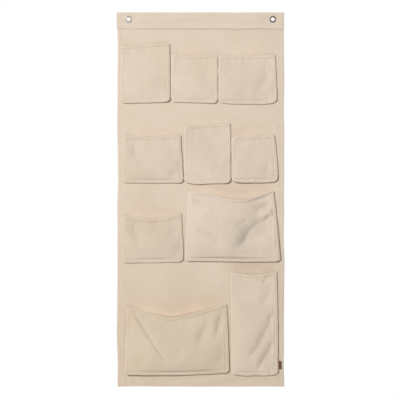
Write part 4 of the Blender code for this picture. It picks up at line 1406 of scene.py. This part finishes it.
def leg_rows(front, inset, low, high):
    """Places along the strip at one inset, its room from panel to front, and how far apart its legs are."""
    x, z = front.seam_path(inset, GUSSET_STEP)
    deep = inset / (GUSSET_FLANGE + GUSSET_FOLD)
    run = np.arange(len(x)) * GUSSET_STEP
    slack = GUSSET_SLACK * deep**2 * noise(run, 0 * run, 0.05, 500 + front.number)
    middle_x = (front.left + front.right) / 2
    x = x + slack * np.sign(middle_x - x) * smooth(np.abs(middle_x - x) / 0.02)
    wave = 0.0005 * math.sin(math.pi * deep) * noise(run, 0 * run, 0.03, 520 + front.number)
    lowest = PANEL_LEVEL + panel_relief(x, z) + (CLOTH + GUSSET_CLOTH) / 2 + CLEAR
    highest = -front.outer(x, z) - front.thickness(x, z) - sway(x, z) - GUSSET_CLOTH / 2 - front.clear(x, z)
    raised = front.lift(x, z) - front.fall(inset)
    low = low + wave + raised * (low - FACING_LEVEL) / (RIM_LEVEL - FACING_LEVEL)
    high = high + wave + raised * (high - FACING_LEVEL) / (RIM_LEVEL - FACING_LEVEL)
    apart = np.maximum(np.clip(high, lowest, highest) - np.clip(low, lowest, highest), LEGS_APART)
    return x, z, lowest + sway(x, z), highest + sway(x, z), apart


def build_gusset(front):
    """The strip that joins a front's rim to the panel, folded in between them."""
    legs = gusset_legs()
    inset = legs[-1][0]
    rows = [leg_rows(front, *leg) for leg in legs]
    x, z, lowest, highest, apart = (np.concatenate(values) for values in zip(*rows))
    plane = middle_plane(x, z, lowest + LEGS_APART / 2, highest - LEGS_APART / 2)
    low_rows, high_rows = [], []
    for x, z, lowest, highest, apart in rows:
        level = plane[0] + plane[1] * x + plane[2] * z
        level = np.clip(level, lowest + LEGS_APART / 2, highest - LEGS_APART / 2)
        half = np.minimum(apart / 2, np.minimum(level - lowest, highest - level))
        low_rows.append(np.stack([x, -(level - half), z], -1))
        high_rows.append(np.stack([x, -(level + half), z], -1))
    before_x, before_z = front.seam_path(inset, GUSSET_STEP)
    inside_x, inside_z = front.seam_path(inset + MM, GUSSET_STEP)
    inwards = unit(np.stack([inside_x - before_x, inside_z - before_z], -1))
    tip_rows = []
    for turn in np.linspace(0, math.pi, TIP_STEPS + 1)[1:-1]:
        out = half * math.sin(turn)
        tip_x, tip_z = x + out * inwards[:, 0], z + out * inwards[:, 1]
        tip_rows.append(np.stack([tip_x, -(level - half * math.cos(turn)), tip_z], -1))
    rows = low_rows + tip_rows + high_rows[::-1]
    middle = np.array(rows)
    uv = np.stack([arc_lengths(middle, 1), arc_lengths(middle, 0)], -1)
    name = "cloth_gusset_" + front.name
    # The gusset takes its front's tone with painted shade at the floor.
    tone_and_painted_light = FRONT_TONE_AND_SHADE[front.name][0]
    obj = cloth_solid(name, middle, GUSSET_CLOTH, uv, [gusset_canvas], flip=True, tone_and_painted_light=tone_and_painted_light)
    slab = between_legs(front, plane, middle[:FLANGE_ROWS], middle[-FLANGE_ROWS:])
    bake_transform(obj)
    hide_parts("gusset_" + front.name)
    return obj


def level_row(x, z, level):
    """Points of a straight row on a hanging sheet, and the directions that face out of it."""
    points = np.stack([x + side_stray(x, z), -(level(x, z) + CLOTH / 2), z], -1)
    return points, np.tile([0.0, -1.0, 0.0], (len(points), 1))


def build_sheet_stitches():
    """Stitches of the panel's hems and of the band's edge."""
    low = PANEL_LOW.z + 0.006
    high = BAND_LOW.z - 0.003
    rows = []
    for side in (-1, 1):
        z = np.arange(low, high, RUN_STEP)
        rows.append(level_row(np.full_like(z, side * (HALF_WIDTH - SIDE_ROW)), z, panel_level))
    x = np.arange(-HALF_WIDTH + 0.010, HALF_WIDTH - 0.010, RUN_STEP)
    stray = (BOTTOM_RISE + 0.0004 * noise(x, 0 * x, 0.16, 9)) * 0.8
    points, normals = level_row(x, np.full_like(x, PANEL_LOW.z + BOTTOM_ROW), panel_level)
    points[:, 2] += stray
    rows.append((points, normals))
    panel = stitch_mesh("stitches_panel", rows, cotton_thread)
    x = np.arange(-HALF_WIDTH + 0.001, HALF_WIDTH - 0.001, RUN_STEP)
    z = np.full_like(x, BAND_LOW.z + BAND_SEAM)
    points, normals = level_row(x, z, band_level)
    points[:, 2] += 0.0003 * noise(x, 0 * x, 0.11, 43) * calm_at_eyelets(x, z)
    band = stitch_mesh("stitches_band", [(points, normals)], cotton_thread)
    return panel, band


def turned(name, profile, place, sides, material):
    """A closed profile of (radius, level) turned about an axis through place that points to the front."""
    count = len(profile)
    turn = 2 * math.pi * np.arange(sides) / sides
    radius = np.array([p[0] for p in profile])
    level = np.array([p[1] for p in profile])
    x = place.x + np.outer(np.cos(turn), radius)
    z = place.z + np.outer(np.sin(turn), radius)
    y = np.broadcast_to(-level, x.shape)
    points = np.stack([x, y, z], -1).reshape(-1, 3)
    index = np.arange(sides * count).reshape(sides, count)
    across = np.roll(index, -1, axis=0)
    quads = np.stack([index, np.roll(index, -1, axis=1), np.roll(across, -1, axis=1), across], -1)
    quads = quads.reshape(-1, 4)
    mesh = mesh_from(name, points, quads.tolist(), points[:, [0, 2]])
    mesh.set_sharp_from_angle(angle=math.radians(50))
    return new_object(name, mesh, [material])


def build_eyelet(side):
    """One eyelet: a domed flange, its barrel and the edge rolled over the washer."""
    low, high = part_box("eyelet_" + side)
    place = EYELETS[side]
    outer = (high.x - low.x) / 2
    bore = 0.00515
    sheet = 0.0005
    seat = FACING_LEVEL + CAD_CLOTH / 2 + 0.0003
    half = (outer - bore) / 2
    rise = -low.y - seat - sheet
    profile = []
    for k in range(15):
        turn = math.pi * k / 14
        profile.append((bore + half - half * math.cos(turn), seat + sheet + rise * math.sin(turn)))
    profile += [(outer + 0.0001, seat + 0.6 * sheet), (outer, seat + 0.1 * sheet), (outer - 0.0003, seat)]
    profile += [(bore + sheet, seat), (bore + sheet, 0.0012)]
    roll = 0.0009
    for k in range(9):
        turn = math.pi * k / 8
        radius = bore + sheet + roll + roll * -math.cos(turn) + 0.00002
        profile.append((radius, 0.0005 + 0.0004 * math.sin(turn) * 0.6))
    for k in range(9):
        turn = math.pi * k / 8
        profile.append((bore + sheet + roll + roll * math.cos(turn), 0.0005 - 0.0005 * math.sin(turn)))
    profile += [(bore + 0.0001, 0.0004), (bore, 0.0010)]
    obj = turned("eyelet_ring_" + side, profile, place, 96, NICKEL_BY_REFLECTION[side])
    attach(obj, "panel")
    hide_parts("eyelet_" + side)
    return obj


def build_washer(side):
    """The washer behind the panel, with slightly rounded edges."""
    low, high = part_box("washer_" + side)
    outer = (high.x - low.x) / 2
    inner = 0.00595
    front, back = -low.y, -high.y
    round_off = 0.00012
    profile = [
        (outer - round_off, front), (outer, front - round_off),
        (outer, back + round_off), (outer - round_off, back),
        (inner + round_off, back), (inner, back + round_off),
        (inner, front - round_off), (inner + round_off, front),
    ]
    obj = turned("washer_ring_" + side, profile, EYELETS[side], 96, NICKEL_BY_REFLECTION[side])
    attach(obj, "panel")
    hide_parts("washer_" + side)
    return obj


def build_tag(front):
    """The bare leather tab in the side seam: one strip folded at its free end."""
    low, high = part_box("side_tag")
    middle = -(low.y + high.y) / 2
    gap = 0.00032
    root = low.x + 0.0002
    tip = high.x - gap - 0.0010
    straight = np.linspace(root, tip, 8)
    turn = np.linspace(-math.pi / 2, math.pi / 2, 7)[1:-1]
    x_run = np.concatenate([straight, tip + gap * np.cos(turn), straight[::-1]])
    level_run = np.concatenate(
        [np.full(8, middle - gap), middle + gap * np.sin(turn), np.full(8, middle + gap)]
    )
    z_run = np.linspace(low.z + 0.0002, high.z - 0.0002, 15)
    x, z = np.meshgrid(x_run, z_run)
    bend = -0.0022 * ((x - root) / (tip - root)) ** 1.5
    level = np.broadcast_to(level_run[None], x.shape) + bend + 0.0001 * noise(x, z, 0.01, 61)
    level = level + sway(x, z)
    uv = np.stack([np.broadcast_to(arc_run(x_run, level_run)[None], x.shape), z], -1)
    x = x + 0.0003 * noise(z, 0 * z, 0.02, 62) * (x - root) / (tip - root)
    worn = smooth((0.0012 - np.minimum(z - low.z, high.z - z)) / 0.0012)
    worn = np.maximum(worn, 0.5 * smooth((x - tip + 0.0004) / 0.0008))
    obj = cloth_solid("leather_tab", np.stack([x, -level, z], -1), 0.00055, uv, [leather], shade=worn)
    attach(obj, "side_tag")
    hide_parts("side_tag")
    return obj


fronts = [Front(name, number) for number, name in enumerate(POCKET_NAMES)]
panel = build_panel()
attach(panel, "panel")
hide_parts("back_panel")
band = build_band()
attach(band, "panel")
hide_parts("top_band")
for stitches in build_sheet_stitches():
    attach(stitches, "panel")
for front in fronts:
    cloth = build_front(front)
    build_front_stitches(front)
    gusset = build_gusset(front)
for side in EYELETS:
    build_eyelet(side)
    build_washer(side)
build_tag(fronts[-1])


def background_white(tree, colour_input, strength_input, light_colour, light_strength):
    """White where the camera, a reflection or a see-through surface looks, and soft light elsewhere."""
    nodes, links = tree.nodes, tree.links
    path = nodes.new("ShaderNodeLightPath")
    seen = path.outputs["Is Camera Ray"]
    for name in ("Is Glossy Ray", "Is Transmission Ray"):
        most = nodes.new("ShaderNodeMath")
        most.operation = "MAXIMUM"
        links.new(seen, most.inputs[0])
        links.new(path.outputs[name], most.inputs[1])
        seen = most.outputs[0]
    colour = nodes.new("ShaderNodeMix")
    colour.data_type = "RGBA"
    colour.inputs["A"].default_value = light_colour
    colour.inputs["B"].default_value = (1, 1, 1, 1)
    links.new(seen, colour.inputs["Factor"])
    links.new(colour.outputs["Result"], colour_input)
    strength = nodes.new("ShaderNodeMix")
    strength.inputs["A"].default_value = light_strength
    strength.inputs["B"].default_value = 1.0
    links.new(seen, strength.inputs["Factor"])
    links.new(strength.outputs["Result"], strength_input)


WORLD_STRENGTH = 0.18
FLOOR_Z = -1.60
FLOOR_SIZE = (5.0, 3.4)
FLOOR_MIDDLE_Y = -0.6


def build_stage():
    world = bpy.data.worlds.new("studio")
    bpy.context.scene.world = world
    world.use_nodes = True
    background = world.node_tree.nodes["Background"]
    background_white(
        world.node_tree, background.inputs["Color"], background.inputs["Strength"],
        (1.0, 0.985, 0.96, 1), WORLD_STRENGTH,
    )
    bpy.ops.mesh.primitive_plane_add(size=1, location=(0, FLOOR_MIDDLE_Y, FLOOR_Z))
    floor = bpy.context.object
    floor.name = "studio_floor"
    floor.scale = (*FLOOR_SIZE, 1)
    pale = bpy.data.materials.new("pale_floor")
    pale.use_nodes = True
    shader = pale.node_tree.nodes["Principled BSDF"]
    shader.inputs["Base Color"].default_value = (0.86, 0.86, 0.85, 1)
    shader.inputs["Roughness"].default_value = 0.9
    floor.data.materials.append(pale)


def area_light(name, place, target, size, power, colour):
    data = bpy.data.lights.new(name, "AREA")
    data.shape = "DISK"
    data.size = size
    data.energy = power
    data.color = colour
    lamp = bpy.data.objects.new(name, data)
    bpy.context.scene.collection.objects.link(lamp)
    lamp.location = place
    lamp.rotation_euler = (Vector(target) - Vector(place)).to_track_quat("-Z", "Y").to_euler()
    return lamp


def build_lights():
    area_light("key_upper_left", (-2.68, -5.95, 1.70), (0, 0, -0.45), 1.2, 406, (1.0, 0.985, 0.965))
    area_light("fill_right", (1.2, -3.4, 0.5), (0, 0, -0.35), 1.6, 10, (1.0, 0.99, 0.98))


def build_camera():
    middle_x = (PHOTO_SIDE / 2 - PHOTO_ORIGIN_X) * PHOTO_METRES_A_PIXEL
    middle_z = (PHOTO_ORIGIN_Y - PHOTO_SIDE / 2) * PHOTO_METRES_A_PIXEL
    seen = PHOTO_SIDE * PHOTO_METRES_A_PIXEL
    data = bpy.data.cameras.new("photo_camera")
    data.lens = LENS_MM
    data.sensor_width = SENSOR_MM
    data.clip_end = 50
    camera = bpy.data.objects.new("photo_camera", data)
    bpy.context.scene.collection.objects.link(camera)
    camera.location = (middle_x, -seen * LENS_MM / SENSOR_MM - PANEL_LEVEL, middle_z)
    camera.rotation_euler = (math.pi / 2, 0, 0)
    bpy.context.scene.camera = camera


build_stage()
build_lights()
build_camera()
bpy.context.scene.view_settings.view_transform = "Standard"
